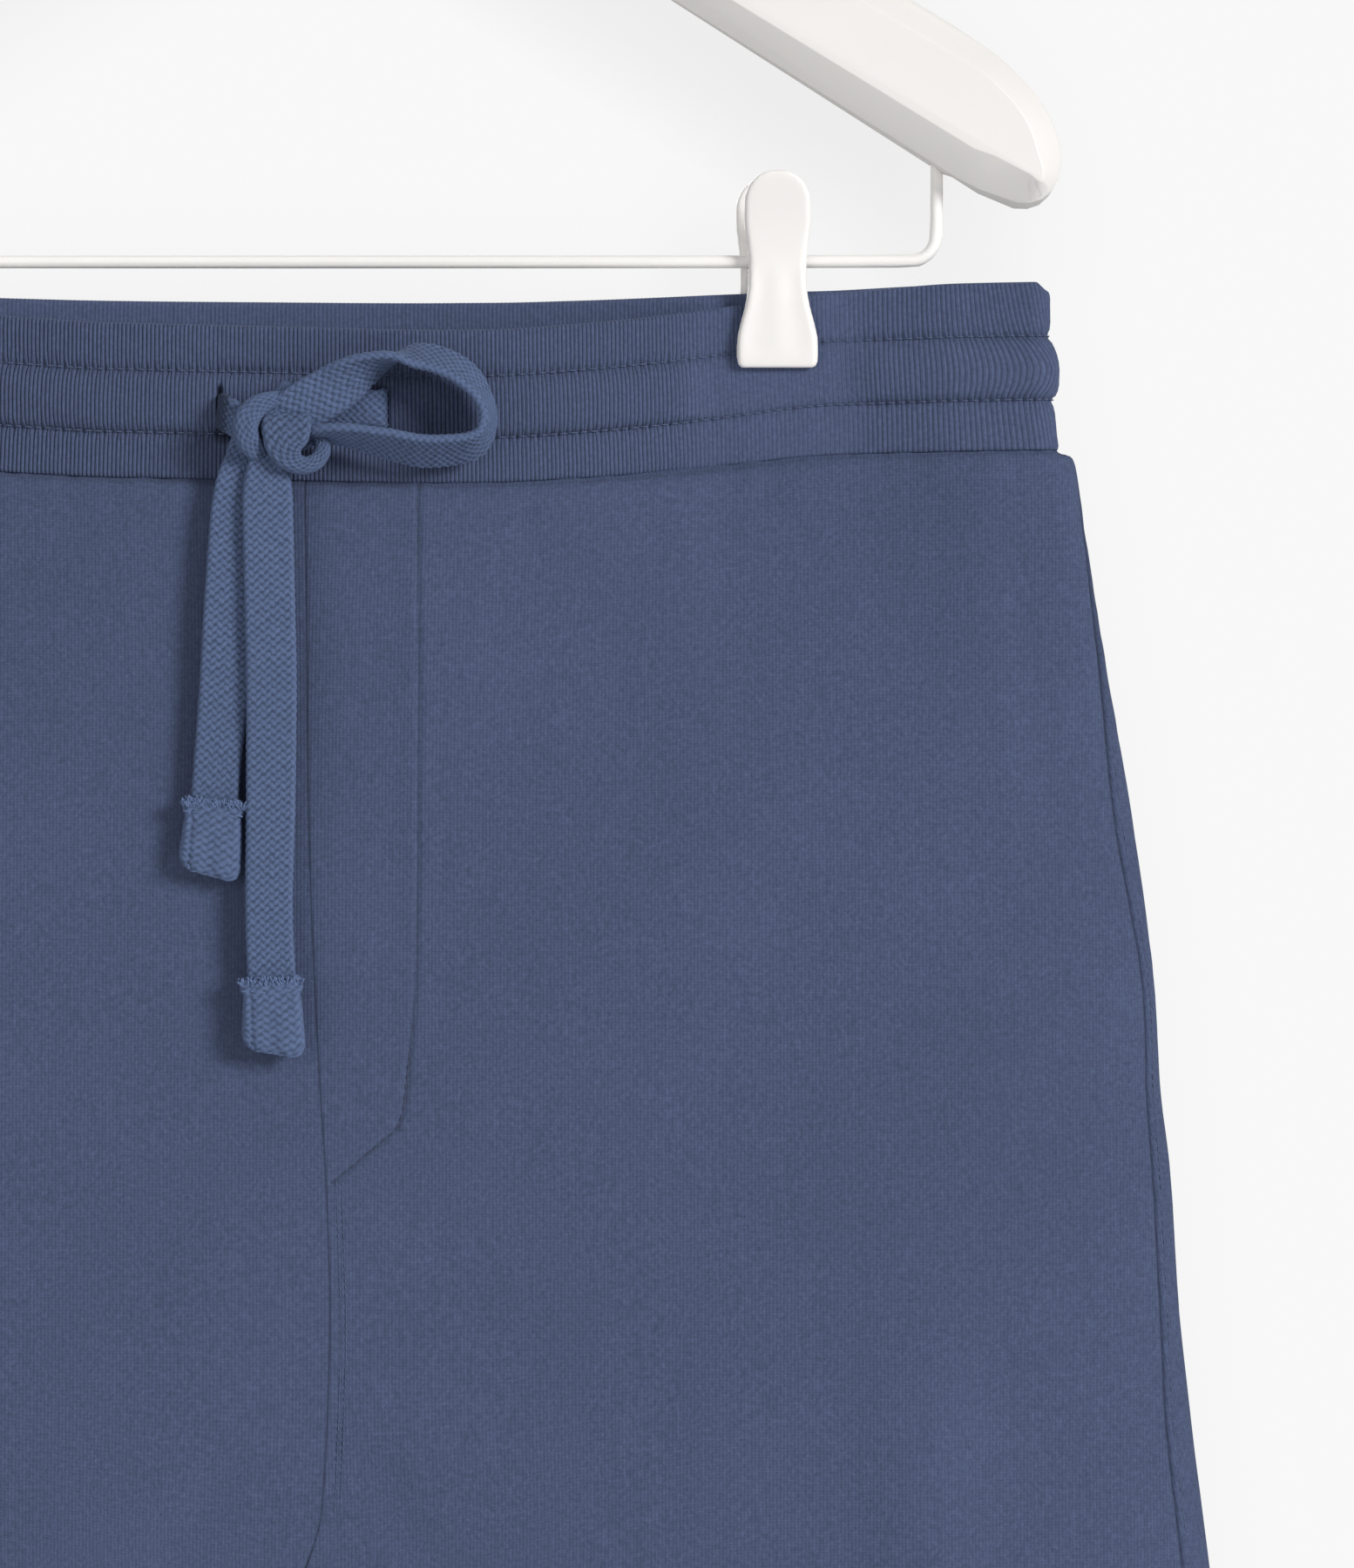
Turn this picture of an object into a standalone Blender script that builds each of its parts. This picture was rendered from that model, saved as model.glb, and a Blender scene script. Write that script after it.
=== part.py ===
"""Sweat bermuda shorts hung from a clip hanger, as the pieces that are cut, sewn and fitted.

Metres, +Z up. The front faces -Y and the wearer's left is +X. The origin is the inner top of the
hook, where a rail carries it. Sizes are in millimetres until a mesh is made.
"""
from math import acos, cos, pi, radians, sin, sqrt, tanh

import bmesh
import bpy
from mathutils import Vector

MM = 0.001

# Driving sizes.
WAIST_TOP = -230.0        # height of the waistband's top edge, from the inner top of the hook
GARMENT_LENGTH = 545.0    # waistband's top edge to hem
RISE = 342.0              # waistband's top edge to crotch
RISE_CURVE = 60.0         # height over which the rise seam turns under to the crotch
WAIST_HALF = 196.4        # half of the waist, laid flat
BAND_TOP = -1.3           # drop of the waistband's top edge at the side folds
BAND_BOTTOM = 41.3        # drop of the waistband's lower edge there
CLOTH_WALL = 1.6
SEAM_GAP = 0.3            # between two pieces that are sewn together
SIDE_ROUND = 6.2          # radius of the waistband's side fold
SIDE_CORNER = 3.4         # how far the top edge dips as it turns round the side fold
BODY_FLATNESS = 2.6       # exponent of the body's section: 2 is an ellipse, more is flatter
LEG_ROUND = 0.3           # share of the half width over which a leg rounds to its inseam
OPENED_AT = 150.0         # drop where the cloth has opened from the clips to its full depth
PINCH_END = 20.0          # drop down to which the clips hold the cloth together
BACK_SAG = 0.42           # the back's sag between the clips, as a share of the front's
CORD_WIDTH = 13.0
CORD_THICK = 2.6
BUTTONHOLE_X = 22.0
BUTTONHOLE = (3.6, 14.0)  # width and height of the slot that the cord comes out of
BUTTONHOLE_DEPTH = 2.4
CLIP_X = 124.5
BAR_X = 166.4             # centre line of the bar's legs
BAR_Z = 7.5               # height of the bar above the waistband's top edge
WIRE = 3.7                # diameter of the bar and of the hook
BAR_BEND = 11.0
ARM_DEPTH = 30.0
ARM_CHAMFER = 6.5
HOOK_RADIUS = 21.0        # of the hook's centre line
SOCKET_DEPTH = 8.0        # of the holes in the arms that take the bar's legs and the hook
SOCKET_PLAY = 0.3

COLOURS = {               # base colour, roughness, metallic
    "fleece": ((0.073, 0.095, 0.171), 0.95, 0.0),
    "rib": ((0.068, 0.088, 0.160), 0.95, 0.0),
    "braid": ((0.084, 0.117, 0.209), 0.9, 0.0),
    "white_plastic": ((0.86, 0.84, 0.81), 0.38, 0.0),
    "coated_wire": ((0.88, 0.86, 0.83), 0.3, 0.1),
    "spring_steel": ((0.55, 0.55, 0.55), 0.35, 0.9),
}


class Table:
    """Sizes in rows under named columns; between the rows a value follows a smooth curve."""

    def __init__(self, names, rows):
        self.names = names.split()
        self.rows = rows

    def at(self, key, name):
        column = self.names.index(name)
        rows = self.rows
        if key <= rows[0][0]:
            return rows[0][column]
        if key >= rows[-1][0]:
            return rows[-1][column]
        low = max(i for i in range(len(rows) - 1) if rows[i][0] <= key)
        span = rows[low + 1][0] - rows[low][0]
        t = (key - rows[low][0]) / span
        start, end = rows[low][column], rows[low + 1][column]
        leave, arrive = self.tilt(low, column) * span, self.tilt(low + 1, column) * span
        return (start * (1 - t) ** 2 * (1 + 2 * t) + leave * t * (1 - t) ** 2
                + end * t ** 2 * (3 - 2 * t) - arrive * t ** 2 * (1 - t))

    def tilt(self, i, column):
        """Slope at a row: the harmonic mean of its two sides, so no value overshoots its rows."""
        slopes = [(self.rows[k + 1][column] - self.rows[k][column])
                  / (self.rows[k + 1][0] - self.rows[k][0])
                  for k in (i - 1, i) if 0 <= k < len(self.rows) - 1]
        if len(slopes) == 1:
            return slopes[0]
        before, after = slopes
        return 0.0 if before * after <= 0 else 2 * before * after / (before + after)


# The body's outline by drop: half width, how far the side seam lies inside it on the front,
# depth of the front and the back, the centre front line's place, and the gap beside each leg.
BODY = Table("drop half_width seam_inset front back centre leg_gap", (
    (41.6, 199.0, 0.0, 21.0, 22.0, 0.8, 0.0),
    (43.2, 201.9, 0.0, 21.0, 22.0, 0.8, 0.0),
    (46.0, 203.0, 0.1, 21.0, 22.4, 0.8, 0.0),
    (60.0, 205.0, 0.3, 21.2, 23.5, 0.9, 0.0),
    (95.0, 210.5, 1.8, 22.0, 27.0, 1.2, 0.0),
    (140.0, 218.2, 5.0, 23.6, 31.0, 1.8, 0.0),
    (185.0, 224.0, 3.3, 25.4, 33.0, 3.6, 0.0),
    (210.0, 225.4, 4.0, 26.2, 33.5, 5.0, 0.0),
    (231.0, 228.0, 5.2, 26.8, 33.5, 6.4, 0.0),
    (266.0, 230.3, 5.6, 27.2, 33.0, 7.5, 0.0),
    (300.0, 233.7, 7.3, 27.2, 32.0, 6.6, 0.0),
    (342.0, 239.0, 7.7, 27.0, 30.5, 0.0, 0.2),
    (400.0, 244.5, 8.0, 26.5, 29.0, 0.0, 2.6),
    (470.0, 250.0, 8.5, 25.5, 27.5, 0.0, 4.6),
    (545.0, 254.5, 9.0, 24.5, 26.5, 0.0, 6.2)))

# How much deeper the body swells just below the seam that gathers it to the waistband.
SWELL = Table("drop depth", ((41.6, 0.0), (43.2, 1.2), (46.0, 2.0), (60.0, 1.8), (100.0, 1.0), (150.0, 0.0)))

# The waistband's depth in plan, by the share of the half width: the clips pinch it flat.
WAIST_PLAN = Table("share front back", (
    (0.00, 17.0, 9.5), (0.12, 16.6, 9.4), (0.25, 14.6, 8.6), (0.38, 10.8, 7.0), (0.48, 6.4, 5.0),
    (0.55, 3.2, 3.2), (0.71, 3.2, 3.2), (0.79, 4.6, 4.6), (0.88, 6.4, 6.4), (1.00, 6.4, 6.4)))

# How far the front sags between the clips, and how the sag fades down the garment.
SAG = Table("share fall", (
    (0.0, 10.2), (0.1, 10.2), (0.25, 9.8), (0.36, 8.4), (0.48, 6.2), (0.58, 3.8), (0.69, 1.4),
    (0.83, 0.6), (1.0, 0.0)))
SAG_FADE = Table("drop share", (
    (-1.3, 1.1), (11.3, 1.05), (28.0, 1.0), (41.3, 0.85), (90.0, 0.45), (150.0, 0.0)))

# The waistband's wall in profile: three rolls between the topstitched grooves, over a plain inside.
BAND_OUTSIDE = (          # offset from the plan, drop
    (-1.1, -1.3), (-0.3, -0.5), (0.1, 1.6), (0.3, 5.5), (0.0, 9.3), (-0.9, 11.3), (0.2, 13.2),
    (1.0, 17.0), (1.2, 22.0), (0.6, 26.0), (-0.8, 28.0), (0.1, 30.0), (0.4, 35.0), (0.2, 40.2),
    (-0.4, 41.3))
BAND_INSIDE = ((-3.0, 41.3), (-3.0, 20.0), (-3.0, 0.3), (-2.2, -1.1))

# Soft folds in the hanging cloth: a line from the first place to the second, its half breadth,
# and its height (below 0 it is a trough). Face is -1 for the front and 1 for the back.
FOLDS = Table("face x drop x_end drop_end breadth height", (
    (-1, 80.0, 60.0, 86.0, 150.0, 16.0, -0.9),
    (-1, 160.0, 250.0, 176.0, 560.0, 24.0, 2.6),
    (-1, 62.0, 330.0, 74.0, 560.0, 26.0, -2.4),
    (-1, 112.0, 380.0, 118.0, 560.0, 20.0, 2.2),
    (-1, -92.0, 90.0, -104.0, 210.0, 22.0, 0.9),
    (-1, -150.0, 270.0, -168.0, 560.0, 26.0, 2.4),
    (-1, -70.0, 350.0, -78.0, 560.0, 24.0, -2.2),
    (1, 70.0, 90.0, 96.0, 300.0, 30.0, -2.0),
    (1, 140.0, 230.0, 158.0, 560.0, 26.0, 2.8),
    (1, 96.0, 340.0, 92.0, 560.0, 22.0, -2.2),
    (1, -78.0, 100.0, -88.0, 290.0, 28.0, -2.2),
    (1, -136.0, 240.0, -150.0, 560.0, 28.0, 2.6),
    (1, -84.0, 350.0, -86.0, 560.0, 24.0, -2.0)))
FOLD_END = 60.0           # length over which a fold fades in and out

FRONT_COLUMNS = 13
BACK_COLUMNS = 17
BAND_COLUMNS = 18         # for each quarter of the waistband


def mix(start, end, share):
    return start + (end - start) * share


def smooth(share):
    share = min(max(share, 0.0), 1.0)
    return share * share * (3 - 2 * share)


def panel_rows():
    """Rows of a panel, top to hem: drop at the inner edge and at the side, and its tuck under."""
    top = BAND_BOTTOM + SEAM_GAP
    above = [top, 43.2, 46.0, 53.0, 66.0, 84.0, 106.0, 130.0, 156.0, 184.0, 212.0, 236.0, 260.0]
    rows = [(drop, drop, 0.0) for drop in above]
    turns = 6
    for step in range(turns + 1):
        angle = pi / 2 * step / turns
        start = RISE - RISE_CURVE
        tuck = round(1 - cos(angle), 6)
        rows.append((start + RISE_CURVE * sin(angle), mix(start, RISE, step / turns), tuck))
    for drop in (358.0, 382.0, 412.0, 446.0, 482.0, 516.0, GARMENT_LENGTH):
        rows.append((drop, drop, 1.0))
    return rows


ROWS = panel_rows()


def fold_height(face, x, drop):
    height = 0.0
    for fold_face, x_start, start, x_end, end, breadth, crest in FOLDS.rows:
        if fold_face != face or not start < drop < end:
            continue
        centre = mix(x_start, x_end, (drop - start) / (end - start))
        apart = abs(x - centre) / breadth
        if apart < 1:
            ends = smooth((drop - start) / FOLD_END) * smooth((end - drop) / FOLD_END)
            height += crest * ends * (1 - smooth(apart))
    return height


def sag(share, drop, front, side):
    """Fall of the cloth between the clips; it is a little deeper on the wearer's left."""
    fall = SAG.at(share, "fall") * SAG_FADE.at(drop, "share") * (1 + 0.1 * tanh(side * share * 5))
    return fall if front else fall * BACK_SAG


def waist_depth(share, half_width, front):
    """Depth of the waistband at a share of its half width, with its round side fold."""
    inside = half_width * (1 - share)
    round_off = 1.0 if inside >= SIDE_ROUND else sqrt(max(1 - (1 - inside / SIDE_ROUND) ** 2, 0.0))
    return WAIST_PLAN.at(share, "front" if front else "back") * round_off


def cloth_point(side, turn, drop, tuck):
    """Outer face of the cloth: turn is 0 at the centre front, 1 at the side fold, 2 at the centre back."""
    share = (1 - cos(pi * turn)) / 2
    front = turn <= 1
    half_width = BODY.at(drop, "half_width")
    inner = BODY.at(drop, "leg_gap") + (side * BODY.at(drop, "centre") if front else 0.0)
    x = side * mix(inner, half_width, share)
    body = BODY.at(drop, "front" if front else "back") * sqrt(max(1 - share ** BODY_FLATNESS, 0.0))
    swell = SWELL.at(drop, "depth") * sqrt(max(1 - share ** 8, 0.0))
    opened = smooth((drop - PINCH_END) / (OPENED_AT - PINCH_END))
    depth = mix(waist_depth(share, half_width, front), body, opened) + swell
    depth *= 1 - tuck * (1 - sqrt(max(1 - max(1 - share / LEG_ROUND, 0.0) ** 2, 0.0)))
    face = -1 if front else 1
    depth += fold_height(face, x, drop) * smooth(depth / 12)
    return Vector((x, face * depth, WAIST_TOP - drop - sag(share, drop, front, side)))


def row_at(place):
    """The row at a place between the listed ones, whole numbers being the rows themselves."""
    low = min(max(int(place), 0), len(ROWS) - 2)
    return [mix(a, b, place - low) for a, b in zip(ROWS[low], ROWS[low + 1])]


def panel_point(side, turn, place):
    inner_drop, side_drop, tuck = row_at(place)
    share = (1 - cos(pi * turn)) / 2
    return cloth_point(side, turn, mix(inner_drop, side_drop, smooth(share * 2)), tuck)


def panel_inward(side, turn, place):
    """Unit vector from the outer face to the inner one; it stays level where the body is gathered."""
    step = 0.01
    along = panel_point(side, turn + step, place) - panel_point(side, turn - step, place)
    down = panel_point(side, turn, place + step) - panel_point(side, turn, place - step)
    inward = along.cross(down) * side
    inward.z *= smooth((row_at(place)[0] - 46.0) / 20)
    return inward.normalized()


def seam_turn(place, offset):
    """Turn of the side seam, moved by an offset along the cloth: towards the front below 0."""
    drop = row_at(place)[1]
    inner = BODY.at(drop, "leg_gap")
    share = 1 - BODY.at(drop, "seam_inset") / (BODY.at(drop, "half_width") - inner)
    turn = acos(1 - 2 * share) / pi
    step = 0.002
    speed = (panel_point(1, turn - step, place) - panel_point(1, turn - 2 * step, place)).length / step
    return turn + offset / speed


def square_to_seam(inward, tucked):
    """Keeps the wall's edge parallel to its neighbour's: level with the seam's own plane."""
    if tucked:
        inward.y = 0
    else:
        inward.x = 0
    return inward.normalized()


def edge_in(point, side, tucked, front):
    """Moves a point of the inner edge half a seam gap clear of its neighbours across the seams."""
    half = SEAM_GAP / 2
    point.x += side * half * (1 - tucked)
    point.y += (-half if front else half) * tucked
    return point


def panel(name, side, front):
    """A front or a back: a wall between its inner edge and the side seam, waist seam to hem."""
    columns = FRONT_COLUMNS if front else BACK_COLUMNS
    rings = []
    for place, (_, _, tuck) in enumerate(ROWS):
        inner_turn = 0.0 if front else 2.0
        seam = seam_turn(place, -SEAM_GAP / 2 if front else SEAM_GAP / 2)
        outer, inner = [], []
        for column in range(columns + 1):
            turn = mix(inner_turn, seam, column / columns)
            point = panel_point(side, turn, place)
            inward = panel_inward(side, min(max(turn, 0.012), 1.988), place)
            if column == 0:
                if tuck in (0, 1):
                    inward = square_to_seam(inward, tuck)
                point = edge_in(point, side, tuck, front)
            outer.append(point)
            inner.append(point + inward * CLOTH_WALL)
        rings.append(outer + inner[::-1])
    return loft(name, rings, "fleece")


def band_turns():
    """Turns round the whole waistband: side and turn of each column."""
    quarter = [i / BAND_COLUMNS for i in range(2 * BAND_COLUMNS)]
    return [(1, turn) for turn in quarter] + [(-1, 2 - turn) for turn in quarter]


def band_point(side, turn, offset, drop):
    """A point of the waistband's wall, its offset measured square to the plan."""
    half_width = mix(WAIST_HALF, WAIST_HALF + 1.8, smooth(drop / BAND_BOTTOM))

    def plan(at):
        share = (1 - cos(pi * at)) / 2
        front = at <= 1
        depth = waist_depth(share, half_width, front)
        return Vector((side * share * half_width, -depth if front else depth, 0))

    share = (1 - cos(pi * turn)) / 2
    step = 0.004
    along = plan(turn + step) - plan(turn - step)
    outward = Vector((along.y, -along.x, 0)).normalized() * side
    if min(turn, 2 - turn) < step:
        outward = Vector((0, -1 if turn < 1 else 1, 0))
    held = smooth((share - 0.49) / 0.06) * smooth((0.77 - share) / 0.06)
    if offset > -2:
        offset *= 1 - held * (1 if offset > 0 else 0.5)
    point = plan(turn) + outward * offset
    corner = SIDE_CORNER * smooth(1 - (1 - share) * half_width / 5) * smooth(1 - (drop - BAND_TOP) / 8)
    point.z = WAIST_TOP - drop - sag(share, drop, turn <= 1, side) - corner
    return point


def waistband():
    profile = BAND_OUTSIDE + BAND_INSIDE
    rings = [[band_point(side, turn, offset, drop) for offset, drop in profile]
             for side, turn in band_turns()]
    band = loft("waistband", rings, "rib", closed=True)
    for name, side in (("left", 1), ("right", -1)):
        width, height = BUTTONHOLE
        slot = box("buttonhole_cut_" + name, (width, 2 * BUTTONHOLE_DEPTH, height))
        slot.location = Vector((side * BUTTONHOLE_X, front_face(BUTTONHOLE_X, 22.0), KNOT_Z + 5.0)) * MM
        cut(band, slot)
    return band


def front_face(x, drop):
    """Y of the waistband's front face at a distance from the middle."""
    share = abs(x) / WAIST_HALF
    return -waist_depth(share, WAIST_HALF, True) - (1.2 if 14 < drop < 26 else 0.3)


# The drawstring is a flat braid: its routes are chosen by hand, as x, y, height above the
# waistband's top edge, the direction of its width, and its width there.
KNOT_Z = WAIST_TOP - 36.0
ROUTES = {
    "drawstring_lead_right": (
        (-22.0, -16.6, -31.2, (0, 0, 1), 12.0), (-22.0, -19.0, -31.2, (0, 0, 1), 9.0),
        (-21.6, -21.4, -31.6, (0, 0.2, 1), 6.0), (-20.2, -23.0, -32.4, (0.1, 0.3, 1), 5.0),
        (-18.6, -23.5, -33.0, (0.1, 0.3, 1), 5.0)),
    "drawstring_lead_left": (
        (22.0, -16.6, -31.0, (0, 0, 1), 12.0), (22.0, -18.6, -31.0, (0, 0, 1), 11.0),
        (20.6, -20.6, -31.0, (0, 0, 1), 10.0), (17.4, -21.0, -30.8, (0, 0, 1), 9.6),
        (12.6, -20.8, -30.6, (0, 0, 1), 9.6), (8.0, -20.8, -31.0, (0, 0, 1), 9.2)),
    "drawstring_loop": (
        (2.4, -26.6, -27.8, (0.5, -0.3, 0.8), 11.0), (5.4, -27.0, -25.8, (0.45, -0.45, 0.8), 12.0),
        (9.1, -27.2, -23.6, (0.4, -0.6, 0.75), 13.0), (17.0, -27.4, -19.8, (0.2, -0.85, 0.55), 13.0),
        (25.0, -27.4, -17.7, (0.05, -0.9, 0.4), 13.0), (33.0, -27.2, -17.3, (-0.05, -0.9, 0.42), 13.0),
        (39.8, -26.8, -19.3, (-0.2, -0.9, 0.4), 13.0), (45.5, -26.4, -24.3, (-0.35, -0.9, 0.2), 13.0),
        (48.4, -26.2, -30.7, (-0.4, -0.9, 0.0), 13.0), (47.3, -26.4, -37.3, (-0.38, -0.9, -0.2), 13.0),
        (42.7, -26.8, -41.4, (-0.2, -0.9, -0.38), 13.0), (36.4, -27.2, -42.7, (-0.05, -0.9, -0.4), 13.0),
        (28.4, -27.6, -42.0, (0.05, -0.92, -0.38), 13.0), (20.5, -27.8, -39.8, (0.08, -0.95, -0.3), 12.0),
        (14.0, -27.6, -38.2, (0.08, -0.95, -0.3), 10.5), (8.4, -27.0, -37.4, (0.05, -1.0, -0.2), 9.0)),
    "drawstring_tail_right": (
        (-15.9, -23.4, -44.7, (1, 0, 0.1), 9.0), (-16.6, -24.2, -50.0, (1, 0, 0.1), 11.5),
        (-17.0, -25.0, -59.8, (1, 0, 0), CORD_WIDTH), (-18.6, -25.9, -82.0, (1, 0, 0.08), CORD_WIDTH),
        (-19.8, -26.7, -103.0, (1, 0, 0.1), CORD_WIDTH), (-21.6, -27.6, -121.0, (1, 0, 0.1), 12.2),
        (-22.3, -28.0, -131.0, (1, 0, 0.08), 12.2)),
    "drawstring_tail_left": (
        (-8.6, -27.1, -46.0, (1, 0, 0), 10.0), (-8.6, -27.5, -52.0, (1, 0, 0), 12.6),
        (-8.5, -28.2, -59.8, (1, 0, 0), CORD_WIDTH), (-8.0, -29.0, -82.0, (1, 0, 0), CORD_WIDTH),
        (-7.6, -29.8, -103.0, (1, 0, 0), CORD_WIDTH), (-7.8, -30.4, -134.8, (1, 0, 0), 12.6),
        (-8.2, -31.2, -160.0, (1, 0, 0), 12.2), (-8.0, -31.6, -178.6, (1, 0, 0), 12.4)),
}

# The end of each tail is folded up over itself and tacked across: by length, width and thickness.
TAIL_END = Table("down width thick", (
    (0.3, 14.6, 3.4), (1.4, 15.4, 4.4), (4.2, 15.4, 4.4), (5.4, 14.6, 3.6), (8.0, 15.2, 4.0),
    (15.0, 15.8, 4.0), (21.6, 16.0, 3.8), (22.6, 15.0, 2.6)))

# The knot's body from right to left of the wearer: place, middle height, half height, half depth.
KNOT = Table("x z half_height half_depth", (
    (-17.4, -34.6, 4.0, 3.0), (-16.2, -34.6, 6.6, 4.6), (-13.5, -34.7, 8.4, 5.6), (-10.0, -35.2, 9.3, 6.0),
    (-5.0, -36.6, 9.2, 6.2), (-0.5, -38.0, 8.6, 6.0), (3.0, -39.0, 6.6, 5.2), (5.2, -39.4, 4.6, 4.0),
    (6.2, -39.6, 2.4, 2.2)))
KNOT_Y = -24.0


def curve_between(points, share_at):
    """A value on the smooth curve through equally spaced vectors; whole numbers are the vectors."""
    low = min(int(share_at), len(points) - 2)
    t = share_at - low
    before = points[low - 1] if low else 2 * points[0] - points[1]
    start, end = points[low], points[low + 1]
    after = points[low + 2] if low + 2 < len(points) else 2 * end - start
    return 0.5 * (2 * start + (end - before) * t + (2 * before - 5 * start + 4 * end - after) * t ** 2
                  + (3 * (start - end) + after - before) * t ** 3)


def flat_section(centre, wide, thin, width, thick):
    """A ring of a flat braid: a strip with half-round edges."""
    reach = (width - thick) / 2
    ring = []
    for end, first in ((1, -90), (-1, 90)):
        for step in range(5):
            angle = radians(first + 45 * step)
            across = end * reach + thick / 2 * cos(angle)
            ring.append(centre + wide * across + thin * (thick / 2 * sin(angle)))
    return ring


def route_frame(route, at):
    """The place, direction of width, direction of thickness and way ahead at a point of a route."""
    places = [Vector((x, y, WAIST_TOP + z)) for x, y, z, _, _ in route]
    sides = [Vector(wide).normalized() for _, _, _, wide, _ in route]
    nudge = 0.02
    last = len(route) - 1
    ahead = curve_between(places, min(at + nudge, last)) - curve_between(places, max(at - nudge, 0))
    ahead.normalize()
    wide = curve_between(sides, at)
    wide = (wide - ahead * wide.dot(ahead)).normalized()
    return curve_between(places, at), wide, ahead.cross(wide), ahead


def ribbon(name, route, steps=2):
    """A flat braid lofted along its route, turning with the direction of its width."""
    widths = [Vector((width, 0, 0)) for _, _, _, _, width in route]
    rings = []
    for step in range((len(route) - 1) * steps + 1):
        centre, wide, thin, _ = route_frame(route, step / steps)
        rings.append(flat_section(centre, wide, thin, curve_between(widths, step / steps).x, CORD_THICK))
    return loft(name, rings, "braid")


def tail_end(name, route):
    """The doubled end of a tail, straight on from the last point of its route."""
    start, wide, thin, ahead = route_frame(route, len(route) - 1)
    rings = [flat_section(start + ahead * at, wide, thin, width, thick) for at, width, thick in TAIL_END.rows]
    return loft(name, rings, "braid")


def knot():
    rings = []
    for x, z, half_height, half_depth in KNOT.rows:
        centre = Vector((x, KNOT_Y, WAIST_TOP + z))
        rings.append([centre + Vector((0, half_depth * rounded(cos(a)), half_height * rounded(sin(a))))
                      for a in (2 * pi * (i + 0.5) / 16 for i in range(16))])
    return loft("drawstring_knot", rings, "braid")


def rounded(value):
    """Squares a circle's ordinate a little, for a section between an ellipse and a box."""
    return (abs(value) ** 0.8) * (1 if value >= 0 else -1)


# A clip's plate from the jaw's tip to the lever's end: height, half width, inner face, thickness.
CLIP_PLATE = Table("z half_width inner thick", (
    (-19.8, 9.4, 4.0, 1.6), (-19.0, 10.4, 3.6, 2.4), (-16.5, 10.7, 3.6, 2.8), (-12.5, 10.6, 3.6, 3.0),
    (-8.0, 9.7, 3.6, 3.1), (-3.0, 8.4, 3.6, 3.2), (2.5, 7.7, 2.9, 3.3), (7.5, 7.7, 2.2, 3.6),
    (13.0, 8.2, 3.3, 3.2), (19.0, 8.8, 5.2, 2.8), (24.0, 8.7, 7.0, 2.6), (27.6, 7.5, 8.3, 2.5),
    (30.0, 5.3, 9.2, 2.3), (31.4, 2.4, 9.8, 1.8)))
REAR_SHIFT = 2.0          # the rear plate sits this far towards the middle
SPRING = ((-4.6, 21.5), (-3.9, 18.0), (-3.0, 14.2), (-1.6, 11.4), (0.0, 10.4))  # y, z of half the leaf


def clip(name, side):
    """A spring clip on the bar: two plates that pinch the waistband, and the leaf between them."""
    for part, face in (("front", -1), ("back", 1)):
        centre = side * (CLIP_X - (REAR_SHIFT if face > 0 else 0))
        rings = []
        for z, half_width, inner, thick in CLIP_PLATE.rows:
            middle = Vector((centre, face * (inner + thick / 2), WAIST_TOP + z))
            rings.append(flat_section(middle, Vector((1, 0, 0)), Vector((0, 1, 0)), 2 * half_width, thick))
        loft(name + "_" + part, rings, "white_plastic")
    whole = list(SPRING) + [(-y, z) for y, z in SPRING[-2::-1]]
    rings = []
    for i, (y, z) in enumerate(whole):
        before, after = whole[max(i - 1, 0)], whole[min(i + 1, len(whole) - 1)]
        ahead = Vector((0, after[0] - before[0], after[1] - before[1]))
        wide = Vector((1, 0, 0))
        centre = Vector((side * CLIP_X, y, WAIST_TOP + z))
        rings.append(flat_section(centre, wide, ahead.cross(wide).normalized(), 7.0, 0.8))
    loft(name + "_spring", rings, "spring_steel")


# Outline of the hanger's wearer's-left arm above the waistband's top edge, from the middle of its
# underside round the end to the middle of its top.
ARM_OUTLINE = (
    (0.0, 122.0), (30.0, 116.0), (60.0, 100.0), (98.6, 75.7), (129.1, 56.8), (162.3, 35.5), (172.0, 29.2),
    (183.6, 24.2), (190.6, 23.0), (196.2, 26.2), (198.6, 33.6), (197.5, 41.0), (194.1, 48.4), (188.2, 55.7),
    (180.7, 62.5), (158.9, 76.4), (120.0, 100.0), (80.0, 124.0), (45.0, 143.0), (22.0, 153.0), (0.0, 157.0))


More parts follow.
